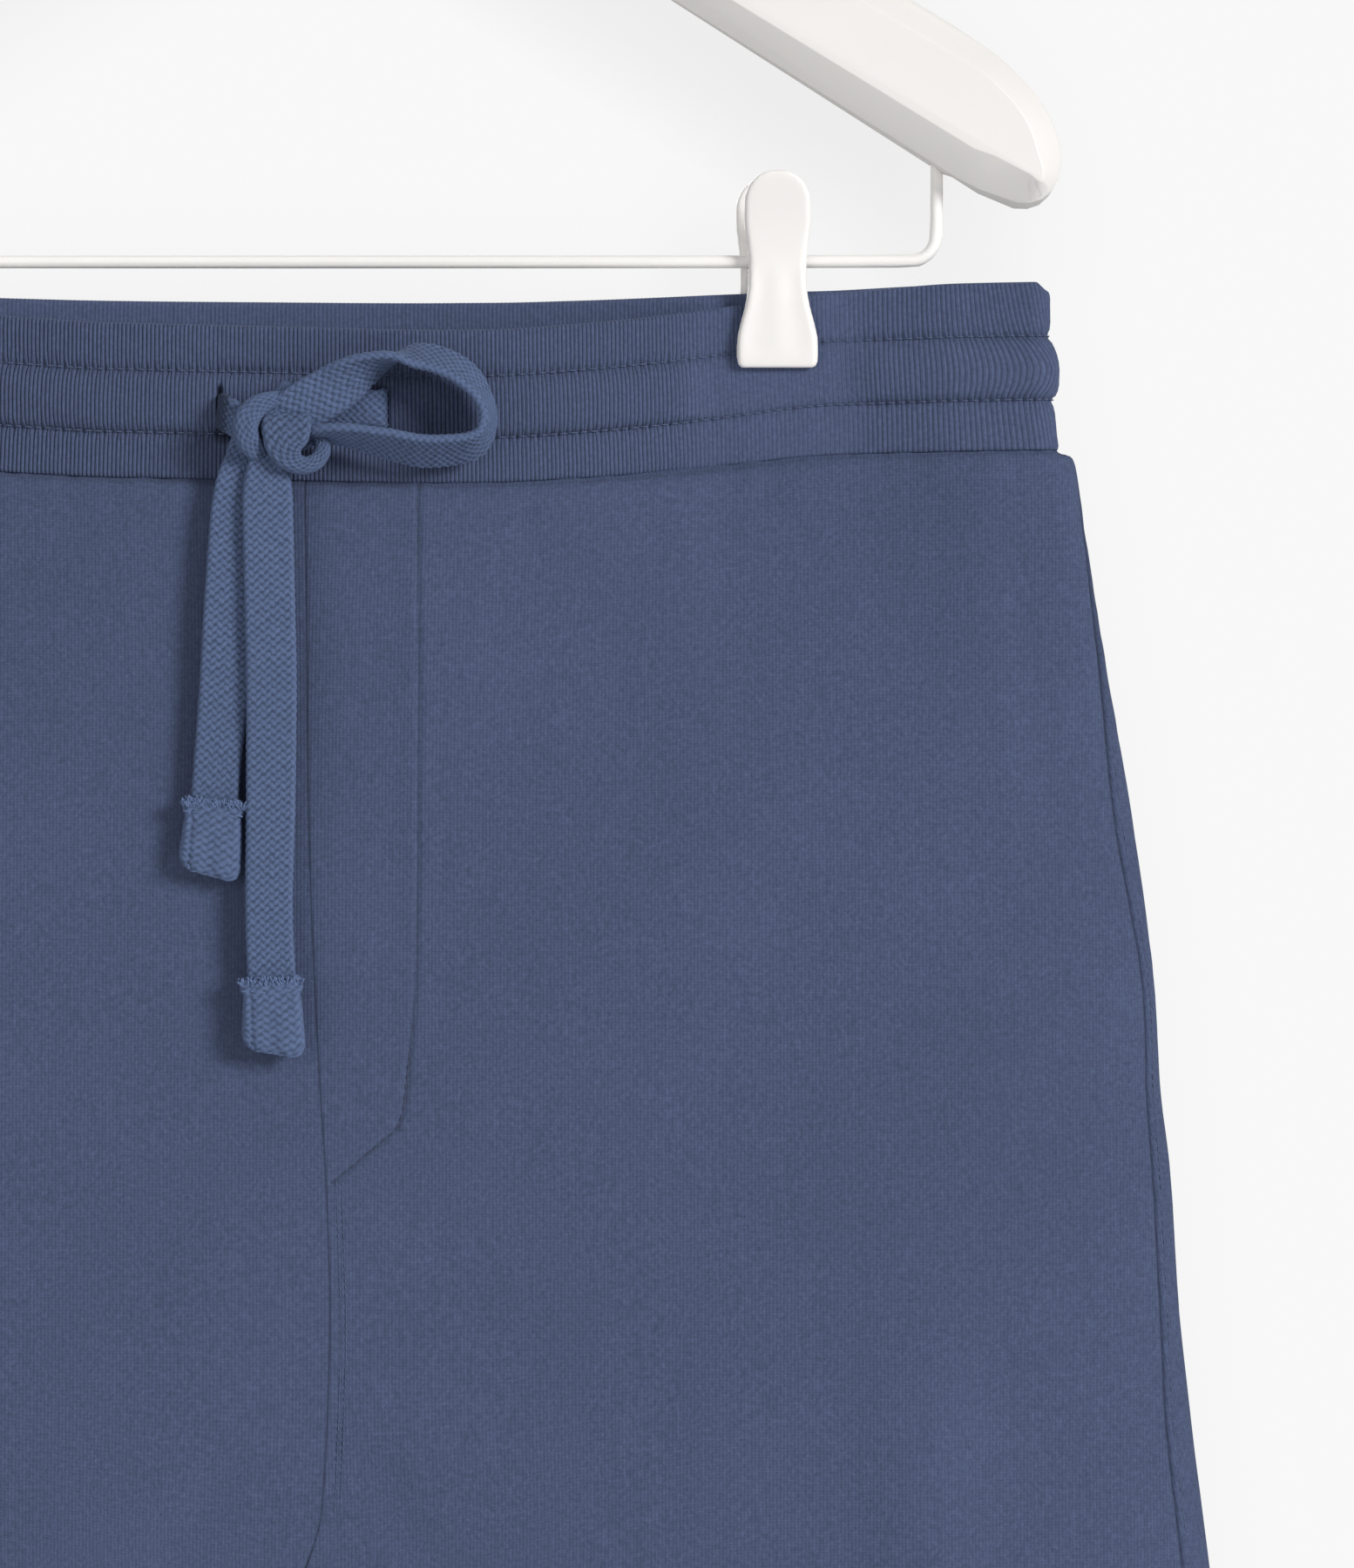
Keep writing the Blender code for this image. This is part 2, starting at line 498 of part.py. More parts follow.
def hanger_arms():
    """Both arms in one moulding: a flat outline with chamfered edges, bored for the wires."""
    mirrored = [(-x, z) for x, z in ARM_OUTLINE[-2:0:-1]]
    outline = bpy.data.curves.new("hanger_arms", "CURVE")
    outline.dimensions = "2D"
    outline.fill_mode = "BOTH"
    outline.extrude = (ARM_DEPTH / 2 - ARM_CHAMFER) * MM
    outline.bevel_depth = ARM_CHAMFER * MM
    outline.bevel_resolution = 0
    outline.offset = -ARM_CHAMFER * MM
    outline.resolution_u = 2
    spline = outline.splines.new("BEZIER")
    points = list(ARM_OUTLINE) + mirrored
    spline.bezier_points.add(len(points) - 1)
    for bezier, (x, z) in zip(spline.bezier_points, points):
        bezier.co = Vector((x, WAIST_TOP + z, 0)) * MM
        bezier.handle_left_type = bezier.handle_right_type = "AUTO"
    spline.use_cyclic_u = True
    flat = place("outline_of_arms", outline, None)
    flat.rotation_euler = (radians(90), 0, 0)
    arms = as_mesh(flat, "hanger_arms", "white_plastic")
    bore_length = SOCKET_DEPTH + 16.0
    sockets = (("bar_left", BAR_X, leg_top(), -1), ("bar_right", -BAR_X, leg_top(), -1),
               ("hook", 0.0, stem_foot(), 1))
    for name, x, end, away in sockets:
        bore = bmesh.new()
        radius = (WIRE / 2 + SOCKET_PLAY) * MM
        bmesh.ops.create_cone(bore, cap_ends=True, segments=16, depth=bore_length * MM,
                              radius1=radius, radius2=radius)
        cutter = finish("socket_cut_" + name, bore)
        cutter.location = Vector((x, 0, end + away * bore_length / 2)) * MM
        cut(arms, cutter)
    return arms


def leg_top():
    """Height of the top of the bar's legs, inside the arms."""
    return WAIST_TOP + 33.0 + SOCKET_DEPTH


def stem_foot():
    """Height of the foot of the hook's stem, inside the arms."""
    return WAIST_TOP + ARM_OUTLINE[-1][1] - SOCKET_DEPTH


def wire(name, points):
    """A round wire along points in the plane of the hanger."""
    path = bpy.data.curves.new(name, "CURVE")
    path.dimensions = "3D"
    path.bevel_depth = WIRE / 2 * MM
    path.bevel_resolution = 2
    path.use_fill_caps = True
    spline = path.splines.new("POLY")
    spline.points.add(len(points) - 1)
    for point, (x, z) in zip(spline.points, points):
        point.co = (x * MM, 0, z * MM, 1)
    return place(name, path, "coated_wire")


def hanger_bar():
    """The bar below the arms, its legs turned up into them."""
    level = WAIST_TOP + BAR_Z
    half = [(BAR_X, leg_top() - SOCKET_PLAY)]
    for step in range(6):
        angle = pi / 2 * step / 5
        half.append((BAR_X - BAR_BEND * (1 - cos(angle)), level + BAR_BEND * (1 - sin(angle))))
    return wire("hanger_bar", half + [(-x, z) for x, z in half[::-1]])


def hanger_hook():
    """The hook: a stem, a sweep out to its ring, and the ring open at the wearer's right."""
    centre = WIRE / 2 - HOOK_RADIUS
    points = [(0.0, stem_foot() + SOCKET_PLAY), (0.0, stem_foot() + 14.0), (1.2, stem_foot() + 20.0),
              (5.2, centre - HOOK_RADIUS - 2.2)]
    turns = 22
    for step in range(turns + 1):
        angle = radians(mix(-58, 196, step / turns))
        points.append((HOOK_RADIUS * cos(angle), centre + HOOK_RADIUS * sin(angle)))
    return wire("hanger_hook", points)


def material(name):
    colour, roughness, metallic = COLOURS[name]
    found = bpy.data.materials.get(name)
    if found:
        return found
    made = bpy.data.materials.new(name)
    made.use_nodes = True
    shader = made.node_tree.nodes["Principled BSDF"]
    shader.inputs["Base Color"].default_value = (*colour, 1)
    shader.inputs["Roughness"].default_value = roughness
    shader.inputs["Metallic"].default_value = metallic
    made.diffuse_color = (*colour, 1)
    return made


def collection(name):
    found = bpy.data.collections.get(name)
    if not found:
        found = bpy.data.collections.new(name)
        bpy.context.scene.collection.children.link(found)
    return found


def place(name, data, material_name):
    made = bpy.data.objects.new(name, data)
    collection("sweat_bermuda_shorts").objects.link(made)
    if material_name:
        data.materials.append(material(material_name))
    return made


def finish(name, bm, material_name=None):
    """Turns a bmesh into an object with its faces out, shaded smooth between its sharp edges."""
    bmesh.ops.recalc_face_normals(bm, faces=bm.faces)
    mesh = bpy.data.meshes.new(name)
    bm.to_mesh(mesh)
    bm.free()
    mesh.shade_smooth()
    mesh.set_sharp_from_angle(angle=radians(42))
    return place(name, mesh, material_name)


def loft(name, rings, material_name, closed=False):
    """A solid through rings of equally many points; open ends are filled with strips across."""
    size, count = len(rings[0]), len(rings)
    bm = bmesh.new()
    points = [[bm.verts.new(point * MM) for point in ring] for ring in rings]
    for number in range(count if closed else count - 1):
        near, far = points[number], points[(number + 1) % count]
        for i in range(size):
            k = (i + 1) % size
            bm.faces.new((near[i], near[k], far[k], far[i]))
    if not closed:
        for ring in (points[0], points[-1]):
            for i in range(size // 2 - 1):
                bm.faces.new((ring[i], ring[i + 1], ring[size - 2 - i], ring[size - 1 - i]))
    return finish(name, bm, material_name)


def box(name, size):
    bm = bmesh.new()
    bmesh.ops.create_cube(bm, size=MM)
    bmesh.ops.scale(bm, vec=size, verts=bm.verts)
    return finish(name, bm)


def as_mesh(curve_object, name, material_name):
    """The mesh of a curve object, with its loose caps welded on."""
    bpy.context.view_layer.update()
    evaluated = curve_object.evaluated_get(bpy.context.evaluated_depsgraph_get())
    mesh = bpy.data.meshes.new_from_object(evaluated)
    bm = bmesh.new()
    bm.from_mesh(mesh)
    bm.transform(curve_object.matrix_world)
    bmesh.ops.remove_doubles(bm, verts=bm.verts, dist=0.00001)
    bpy.data.meshes.remove(mesh)
    bpy.data.objects.remove(curve_object)
    return finish(name, bm, material_name)


def cut(target, cutter):
    """Cuts one object with another, which stays as a hidden guide."""
    for owner in list(cutter.users_collection):
        owner.objects.unlink(cutter)
    collection("cutters").objects.link(cutter)
    cutter.hide_render = True
    cutter.display_type = "WIRE"
    modifier = target.modifiers.new(cutter.name, "BOOLEAN")
    modifier.operation = "DIFFERENCE"
    modifier.solver = "EXACT"
    modifier.object = cutter


def build():
    for old in list(bpy.data.objects):
        bpy.data.objects.remove(old)
    for name, side in (("left", 1), ("right", -1)):
        panel("front_" + name, side, True)
        panel("back_" + name, side, False)
        clip("clip_" + name, side)
    waistband()
    for name, route in ROUTES.items():
        ribbon(name, route)
    for name in ("left", "right"):
        tail_end("drawstring_end_" + name, ROUTES["drawstring_tail_" + name])
    knot()
    hanger_arms()
    hanger_bar()
    hanger_hook()


build()
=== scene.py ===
"""Sweat bermuda shorts on a clip hanger: the cloth, its stitching and every finish.

The packed CAD part is the fixed frame, and each piece lies where its solid lies. Lengths are in
millimetres, +Z up, the front facing -Y and the wearer's left +X; meshes are made in metres. The
file is laid out as an add-on: its settings and operators are in the sidebar's Shorts tab.
"""
from math import cos, pi, radians, sin

import bmesh
import bpy
import numpy as np
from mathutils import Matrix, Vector


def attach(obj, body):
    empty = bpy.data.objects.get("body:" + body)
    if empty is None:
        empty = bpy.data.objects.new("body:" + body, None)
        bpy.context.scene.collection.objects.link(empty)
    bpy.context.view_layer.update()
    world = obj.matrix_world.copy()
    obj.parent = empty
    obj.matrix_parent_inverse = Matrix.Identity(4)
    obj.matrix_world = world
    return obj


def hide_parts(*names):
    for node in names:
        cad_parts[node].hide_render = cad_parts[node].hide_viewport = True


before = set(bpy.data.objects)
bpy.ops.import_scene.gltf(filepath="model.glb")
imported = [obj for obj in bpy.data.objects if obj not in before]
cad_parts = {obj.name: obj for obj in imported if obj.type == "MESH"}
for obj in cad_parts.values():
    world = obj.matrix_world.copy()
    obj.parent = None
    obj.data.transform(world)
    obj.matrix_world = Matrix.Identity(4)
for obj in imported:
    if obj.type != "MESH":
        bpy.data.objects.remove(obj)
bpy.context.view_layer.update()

bl_info = {
    "name": "Sweat Bermuda Shorts",
    "version": (1, 0, 0),
    "blender": (4, 5, 0),
    "location": "View3D > Sidebar > Shorts",
    "description": "Fleece shorts with a ribbed drawstring waistband, on a clip hanger",
    "category": "Add Mesh",
}

MM = 0.001
SEED = 7

# The garment's driving sizes, as in the part's source.
WAIST_TOP = -230.0        # height of the waistband's top edge, from the inner top of the hook
GARMENT_LENGTH = 545.0
RISE = 342.0
RISE_CURVE = 60.0
WAIST_HALF = 196.4
WAIST_FLARE = 1.8         # how much wider the waistband is at its seam
BAND_TOP = -1.3
BAND_BOTTOM = 41.3
SEAM_GAP = 0.3
CLOTH_WALL = 1.6
SIDE_ROUND = 6.2
SIDE_CORNER = 1.9
BODY_FLATNESS = 2.6
SWELL_FLATNESS = 8
LEG_ROUND = 0.3
OPENED_AT = 150.0
PINCH_END = 20.0
BACK_SAG = 0.27
BUTTONHOLE_X = (-20.5, 22.0)
KNOT_Z = WAIST_TOP - 36.0


class Table:
    """Sizes in rows under named columns, read along a smooth curve that never overshoots a row."""

    def __init__(self, names, rows):
        self.names = names.split()
        self.rows = np.array(rows, float)
        slope = np.diff(self.rows, axis=0) / np.diff(self.rows[:, 0])[:, None]
        before, after = slope[:-1], slope[1:]
        same_way = before * after > 0
        total = np.where(same_way, before + after, 1.0)
        inner = np.where(same_way, 2 * before * after / total, 0.0)
        self.tilt = np.vstack((slope[:1], inner, slope[-1:]))

    def at(self, key, name):
        column = self.names.index(name)
        keys = self.rows[:, 0]
        key = np.clip(key, keys[0], keys[-1])
        low = np.clip(np.searchsorted(keys, key, side="right") - 1, 0, len(keys) - 2)
        span = keys[low + 1] - keys[low]
        t = (key - keys[low]) / span
        start, end = self.rows[low, column], self.rows[low + 1, column]
        leave, arrive = self.tilt[low, column] * span, self.tilt[low + 1, column] * span
        return (start * (1 - t) ** 2 * (1 + 2 * t) + leave * t * (1 - t) ** 2
                + end * t ** 2 * (3 - 2 * t) - arrive * t ** 2 * (1 - t))


BODY = Table("drop half_width seam_inset front back centre leg_gap", (
    (41.6, 199, 0, 21, 22, 1.6, 0),
    (43.2, 201.9, 0, 21, 22, 1.6, 0),
    (46, 203, 0.1, 21, 22.4, 1.6, 0),
    (60, 205, 0.3, 21.2, 23.5, 1.8, 0),
    (95, 210.5, 1.8, 22, 27, 2.1, 0),
    (140, 218.2, 5, 23.6, 31, 2.8, 0),
    (185, 224, 3.3, 25.4, 33, 4.6, 0),
    (210, 225.4, 4, 26.2, 33.5, 6, 0),
    (231, 228, 5.2, 26.8, 33.5, 7.4, 0),
    (266, 230.3, 5.6, 27.2, 33, 8.5, 0),
    (300, 233.7, 7.3, 27.2, 32, 7.5, 0),
    (318, 236, 7.5, 27.1, 31.4, 6.2, 0),
    (342, 239, 7.7, 27, 30.5, 0, 0.2),
    (400, 244.5, 8, 26.5, 29, 0, 2.6),
    (470, 250, 8.5, 25.5, 27.5, 0, 4.6),
    (545, 254.5, 9, 24.5, 26.5, 0, 6.2)))
SWELL = Table("drop depth", (
    (41.6, 0), (43.2, 1.2), (46, 2), (60, 1.8), (100, 1), (150, 0)))
WAIST_PLAN = Table("share front back", (
    (0.00, 17.0, 9.5), (0.12, 16.6, 9.4), (0.25, 14.6, 8.6), (0.38, 10.8, 7.0), (0.48, 6.4, 5.0),
    (0.55, 3.2, 3.2), (0.71, 3.2, 3.2), (0.79, 4.6, 4.6), (0.88, 6.4, 6.4), (1.00, 6.4, 6.4)))
SAG = Table("share fall", (
    (0.0, 10.2), (0.1, 10.2), (0.25, 9.8), (0.36, 8.4), (0.48, 6.2), (0.58, 3.8), (0.69, 1.4),
    (0.83, 0.6), (1.0, 0.0)))
SAG_FADE = Table("drop share", (
    (-1.3, 1.1), (11.3, 1.05), (28.0, 1.0), (41.3, 0.85), (90.0, 0.45), (150.0, 0.0)))
BAND_OUTSIDE = (
    (-1.5, -1.3), (-0.7, -0.6), (-0.4, 1.2), (-0.3, 5.5), (-0.5, 9.5), (-1.2, 11.3), (0.0, 12.9),
    (0.9, 16.0), (1.2, 20.0), (0.9, 24.0), (0.0, 27.0), (-1.3, 28.1), (-0.8, 29.6), (-0.4, 34.0),
    (0.1, 40.0), (-0.3, 41.3))
BAND_INSIDE = ((-3.0, 41.3), (-3.0, 20.0), (-3.0, 0.3), (-2.2, -1.1))

# Soft folds and creases: a line from the first place to the second, its half breadth and height.
# Face is -1 for the front and 1 for the back; a trough has a height below 0.
FOLDS = (
    (-1, 80, 60, 86, 150, 16, -0.9), (-1, 160, 250, 176, 560, 24, 2.6),
    (-1, 62, 330, 74, 560, 26, -2.4), (-1, 112, 380, 118, 560, 20, 2.2),
    (-1, -92, 90, -104, 210, 22, 0.9), (-1, -150, 270, -168, 560, 26, 2.4),
    (-1, -70, 350, -78, 560, 24, -2.2), (1, 70, 90, 96, 300, 30, -2),
    (1, 140, 230, 158, 560, 26, 2.8), (1, 96, 340, 92, 560, 22, -2.2),
    (1, -78, 100, -88, 290, 28, -2.2), (1, -136, 240, -150, 560, 28, 2.6),
    (1, -84, 350, -86, 560, 24, -2))
FOLD_END = 60.0           # length over which a fold fades at either end
FOLD_DEPTH = 12.0         # the folds are full where the body is at least this deep
CREASES = (
    (-1, 84, 38, 86, 56, 4, -0.45), (-1, 119, 38, 128, 58, 5, -0.5),
    (-1, 127, 40, 131, 62, 4, 0.35), (-1, 157, 38, 163, 56, 4.5, -0.55),
    (-1, 176, 40, 184, 60, 5, 0.4), (-1, 30, 38, 31, 52, 3, -0.4), (-1, 58, 40, 60, 70, 6, -0.35),
    (-1, 186, 60, 197, 150, 9, -0.5), (-1, 30.5, 60, 31, 200, 5, 0.3),
    (-1, 10, 290, 46, 352, 10, -0.35), (-1, 14, 318, 70, 372, 12, 0.4),
    (-1, -12, 296, -50, 356, 11, -0.4), (-1, -16, 322, -72, 370, 12, 0.4),
    (-1, -88, 38, -92, 58, 5, -0.5), (-1, -124, 38, -132, 60, 5, -0.5),
    (-1, -166, 38, -172, 58, 5, -0.5), (-1, -190, 66, -200, 150, 9, -0.5),
    (-1, 196, 470, 206, 545, 14, -1), (-1, -190, 460, -206, 545, 14, -1),
    (1, 120, 38, 132, 66, 6, -0.7), (1, 150, 38, 160, 60, 5, -0.5), (1, 60, 38, 64, 60, 5, -0.6),
    (1, 20, 38, 22, 62, 5, -0.5), (1, -122, 38, -134, 68, 6, -0.7),
    (1, -156, 38, -164, 60, 5, -0.5), (1, -50, 38, -54, 62, 5, -0.6),
    (1, 16, 280, 62, 350, 13, -1.3), (1, 22, 312, 90, 374, 14, 1.1),
    (1, -18, 276, -66, 348, 13, -1.3), (1, -24, 316, -92, 372, 14, 1.1),
    (1, 8, 120, 40, 250, 20, 0.7), (1, -10, 140, -46, 262, 20, 0.7))
CREASE_END = 16.0


def mix(start, end, share):
    """A value between two, by the share of the way."""
    return start + (end - start) * share


def smooth(share):
    """A share that starts and ends level."""
    share = np.clip(share, 0.0, 1.0)
    return share * share * (3 - 2 * share)


def hump(distance, reach):
    """1 at no distance, falling off to 0 a reach or two away."""
    return np.exp(-(distance / reach) ** 2)


def unit(vectors):
    return vectors / np.maximum(np.linalg.norm(vectors, axis=-1, keepdims=True), 1e-9)


def run_length(points):
    """Length along a broken line up to each of its points."""
    return np.concatenate(((0.0,), np.cumsum(np.linalg.norm(np.diff(points, axis=0), axis=1))))


def read_line(at, length, line):
    """Places on a broken line, by the length along it; its columns may hold other values too."""
    return np.stack([np.interp(at, length, line[:, i]) for i in range(line.shape[1])], -1)


def share_of(turn):
    """Share of the half width that a turn reaches: 0 centre front, 1 side fold, 2 centre back."""
    return (1 - np.cos(pi * turn)) / 2


def ridge_sum(table, face, x, drop, end_length):
    """Height of the ridges and troughs of a table at places on the cloth."""
    height = np.zeros(np.broadcast(x, drop).shape)
    for fold_face, x_start, start, x_end, end, breadth, crest in table:
        along = (drop - start) / (end - start)
        apart = np.abs(x - mix(x_start, x_end, along)) / breadth
        ends = smooth((drop - start) / end_length) * smooth((end - drop) / end_length)
        height = height + crest * ends * (1 - smooth(apart)) * (face == fold_face)
    return height


def sag(share, drop, front, side):
    """Fall of the cloth between the clips; it is a little deeper on the wearer's left."""
    fall = SAG.at(share, "fall") * SAG_FADE.at(drop, "share")
    fall = fall * (1 + 0.1 * np.tanh(side * share * 5))
    return np.where(front, fall, fall * BACK_SAG)


def waist_depth(share, half_width, front):
    """Half depth of the waist, which the side folds round off."""
    inside = half_width * (1 - share)
    round_off = np.sqrt(np.clip(1 - (1 - np.minimum(inside / SIDE_ROUND, 1)) ** 2, 0, 1))
    plan = np.where(front, WAIST_PLAN.at(share, "front"), WAIST_PLAN.at(share, "back"))
    return plan * round_off


def cloth_points(side, turn, drop, tuck):
    """Places on the outer face of the body's cloth, and each one's face."""
    turn, drop, tuck = np.broadcast_arrays(*(np.asarray(a, float) for a in (turn, drop, tuck)))
    share = share_of(turn)
    front = turn <= 1
    half_width = BODY.at(drop, "half_width")
    inner = BODY.at(drop, "leg_gap") + np.where(front, side * BODY.at(drop, "centre"), 0.0)
    x = side * mix(inner, half_width, share)
    body = np.where(front, BODY.at(drop, "front"), BODY.at(drop, "back"))
    body = body * np.sqrt(np.maximum(1 - share ** BODY_FLATNESS, 0.0))
    swell = SWELL.at(drop, "depth") * np.sqrt(np.maximum(1 - share ** SWELL_FLATNESS, 0.0))
    opened = smooth((drop - PINCH_END) / (OPENED_AT - PINCH_END))
    depth = mix(waist_depth(share, half_width, front), body, opened) + swell
    inner_round = np.sqrt(np.maximum(1 - np.maximum(1 - share / LEG_ROUND, 0.0) ** 2, 0.0))
    depth = depth * (1 - tuck * (1 - inner_round))
    face = np.where(front, -1, 1)
    depth = depth + ridge_sum(FOLDS, face, x, drop, FOLD_END) * smooth(depth / FOLD_DEPTH)
    z = WAIST_TOP - drop - sag(share, drop, front, side)
    return np.stack((x, face * depth, z), -1)


def front_place(x, height):
    """Side, turn and drop of the front's place at x and a height over the waistband's top."""
    side = 1 if x >= 0 else -1
    drop = -height
    for _ in range(8):
        half_width = BODY.at(drop, "half_width")
        inner = BODY.at(drop, "leg_gap") + side * BODY.at(drop, "centre")
        share = np.clip((side * x - inner) / (half_width - inner), 0.0, 0.999)
        drop = -height - sag(share, drop, True, side)
    return side, np.arccos(1 - 2 * share) / pi, drop


# ---------------------------------------------------------------------------- mesh helpers

def grid_normals(points, inside):
    """Unit normals of a grid of points, pointing away from the inside."""
    across = np.gradient(points, axis=1)
    down = np.gradient(points, axis=0)
    normals = unit(np.cross(across, down))
    return -normals if (normals * (points - inside)).sum() < 0 else normals


def new_object(name, verts, faces, material, uv=None, values=None):
    """A mesh object from points in millimetres, with a UV and a value for each point if given."""
    mesh = bpy.data.meshes.new(name)
    mesh.from_pydata((np.asarray(verts) * MM).tolist(), [], faces)
    if uv is not None:
        layer = mesh.uv_layers.new(name="Cloth")
        corner = np.zeros(len(mesh.loops), np.int32)
        mesh.loops.foreach_get("vertex_index", corner)
        layer.data.foreach_set("uv", np.asarray(uv, np.float32)[corner].ravel())
    for key, value in (values or {}).items():
        layer = mesh.attributes.new(key, "FLOAT", "POINT")
        layer.data.foreach_set("value", np.asarray(value, np.float32))
    mesh.materials.append(material)
    mesh.shade_smooth()
    mesh.update()
    return link_object(name, mesh)


def grid_faces(rows, columns, flip, closed_columns=False, closed_rows=False, start=0):
    """Quads of a grid of rows by columns points, numbered row by row."""
    r = np.arange(rows if closed_rows else rows - 1)
    c = np.arange(columns if closed_columns else columns - 1)
    r, c = np.meshgrid(r, c, indexing="ij")
    r2, c2 = (r + 1) % rows, (c + 1) % columns
    quads = np.stack((r * columns + c, r * columns + c2, r2 * columns + c2, r2 * columns + c), -1)
    quads = quads.reshape(-1, 4) + start
    return (quads[:, ::-1] if flip else quads).tolist()


def deselect():
    for other in bpy.context.selected_objects:
        other.select_set(False)


def select_only(target):
    deselect()
    bpy.context.view_layer.objects.active = target
    target.select_set(True)


def link_object(name, data):
    made = bpy.data.objects.new(name, data)
    bpy.context.scene.collection.objects.link(made)
    return made


def get_points(made):
    """A mesh object's points, in metres."""
    places = np.zeros(len(made.data.vertices) * 3)
    made.data.vertices.foreach_get("co", places)
    return places.reshape(-1, 3)


def set_points(made, points):
    made.data.vertices.foreach_set("co", points.ravel())
    made.data.update()


def outward_quads(points, count, face, **closed):
    """Quads of a grid of points, turned so that the one numbered count looks to -Y or +Y."""
    quads = grid_faces(*points.shape[:2], flip=False, **closed)
    corner = points.reshape(-1, 3)[quads[count]]
    facing = np.cross(corner[1] - corner[0], corner[2] - corner[1])[1] * face
    return quads if facing > 0 else grid_faces(*points.shape[:2], flip=True, **closed)


def apply_modifier(target, kind, **values):
    select_only(target)
    modifier = target.modifiers.new(kind.title(), kind)
    for key, value in values.items():
        setattr(modifier, key, value)
    bpy.ops.object.modifier_apply(modifier=modifier.name)


def place(made, slot, *replaced):
    """Puts a piece on the part's one body, in place of its solids; its slot is not used."""
    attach(made, "root")
    if replaced:
        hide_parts(*replaced)
    return made


# ---------------------------------------------------------------------------- materials

YARN = (1.0, 1.6, 0.5)    # factors of the knit's main colour, its light and its dark fibres


class Nodes:
    """Short hand for building a node tree."""

    def __init__(self, tree):
        self.tree = tree

    def add(self, kind, **values):
        node = self.tree.nodes.new(kind)
        for key, value in values.items():
            setattr(node, key, value)
        return node

    def link(self, source, target):
        self.tree.links.new(source, target)

    def put(self, socket, value):
        if isinstance(value, bpy.types.NodeSocket):
            self.link(value, socket)
        else:
            socket.default_value = value

    def math(self, operation, first, second=0.0):
        node = self.add("ShaderNodeMath", operation=operation)
        self.put(node.inputs[0], first)
        self.put(node.inputs[1], second)
        return node.outputs[0]

    def plus(self, first, second):
        return self.math("ADD", first, second)

    def minus(self, first, second):
        return self.math("SUBTRACT", first, second)

    def times(self, first, second):
        return self.math("MULTIPLY", first, second)

    def over(self, first, second):
        return self.math("DIVIDE", first, second)

    def attribute(self, name):
        return self.add("ShaderNodeAttribute", attribute_name=name).outputs["Fac"]

    def mix(self, factor, first, second):
        node = self.add("ShaderNodeMix", data_type="RGBA")
        self.put(node.inputs[0], factor)
        self.put(node.inputs[6], first)
        self.put(node.inputs[7], second)
        return node.outputs[2]

    def noise(self, vector, scale, detail=2.0, roughness=0.5):
        node = self.add("ShaderNodeTexNoise")
        self.put(node.inputs["Vector"], vector)
        node.inputs["Scale"].default_value = scale
        node.inputs["Detail"].default_value = detail
        node.inputs["Roughness"].default_value = roughness
        return node.outputs["Fac"]


def node_group(name, inputs, outputs):
    """An empty shader group with named sockets, its nodes, and what comes in and goes out."""
    group = bpy.data.node_groups.new(name, "ShaderNodeTree")
    for socket_name, kind, value in inputs:
        socket = group.interface.new_socket(socket_name, in_out="INPUT", socket_type=kind)
        if value is not None:
            socket.default_value = value
    for socket_name, kind in outputs:
        group.interface.new_socket(socket_name, in_out="OUTPUT", socket_type=kind)
    nodes = Nodes(group)
    return group, nodes, nodes.add("NodeGroupInput").outputs, nodes.add("NodeGroupOutput").inputs


def heather_group():
    """Dyed yarn: soft tonal drift over the cloth and small lighter and darker fibres."""
    if "heather" in bpy.data.node_groups:
        return bpy.data.node_groups["heather"]
    group, n, given, out = node_group(
        "heather",
        (("Vector", "NodeSocketVector", None), ("Colour", "NodeSocketColor", (0.1, 0.1, 0.2, 1)),
         ("Light Fibre", "NodeSocketColor", (0.15, 0.17, 0.28, 1)),
         ("Dark Fibre", "NodeSocketColor", (0.04, 0.05, 0.1, 1)),
         ("Amount", "NodeSocketFloat", 0.3)),
        (("Colour", "NodeSocketColor"),))
    fine = n.noise(given["Vector"], 900.0, 3.0, 0.7)
    broad = n.noise(given["Vector"], 14.0, 3.0, 0.6)
    light = n.times(n.minus(fine, 0.5), 4.0)
    light = n.times(n.math("MAXIMUM", light, 0.0), given["Amount"])
    dark = n.times(n.minus(0.5, fine), 4.0)
    dark = n.times(n.math("MAXIMUM", dark, 0.0), given["Amount"])
    colour = n.mix(light, given["Colour"], given["Light Fibre"])
    colour = n.mix(dark, colour, given["Dark Fibre"])
    drift = n.times(n.minus(broad, 0.5), 0.5)
    colour = n.mix(n.math("MAXIMUM", drift, 0.0), colour, given["Light Fibre"])
    colour = n.mix(n.math("MAXIMUM", n.times(drift, -1.0), 0.0), colour, given["Dark Fibre"])
    n.link(colour, out["Colour"])
    return group


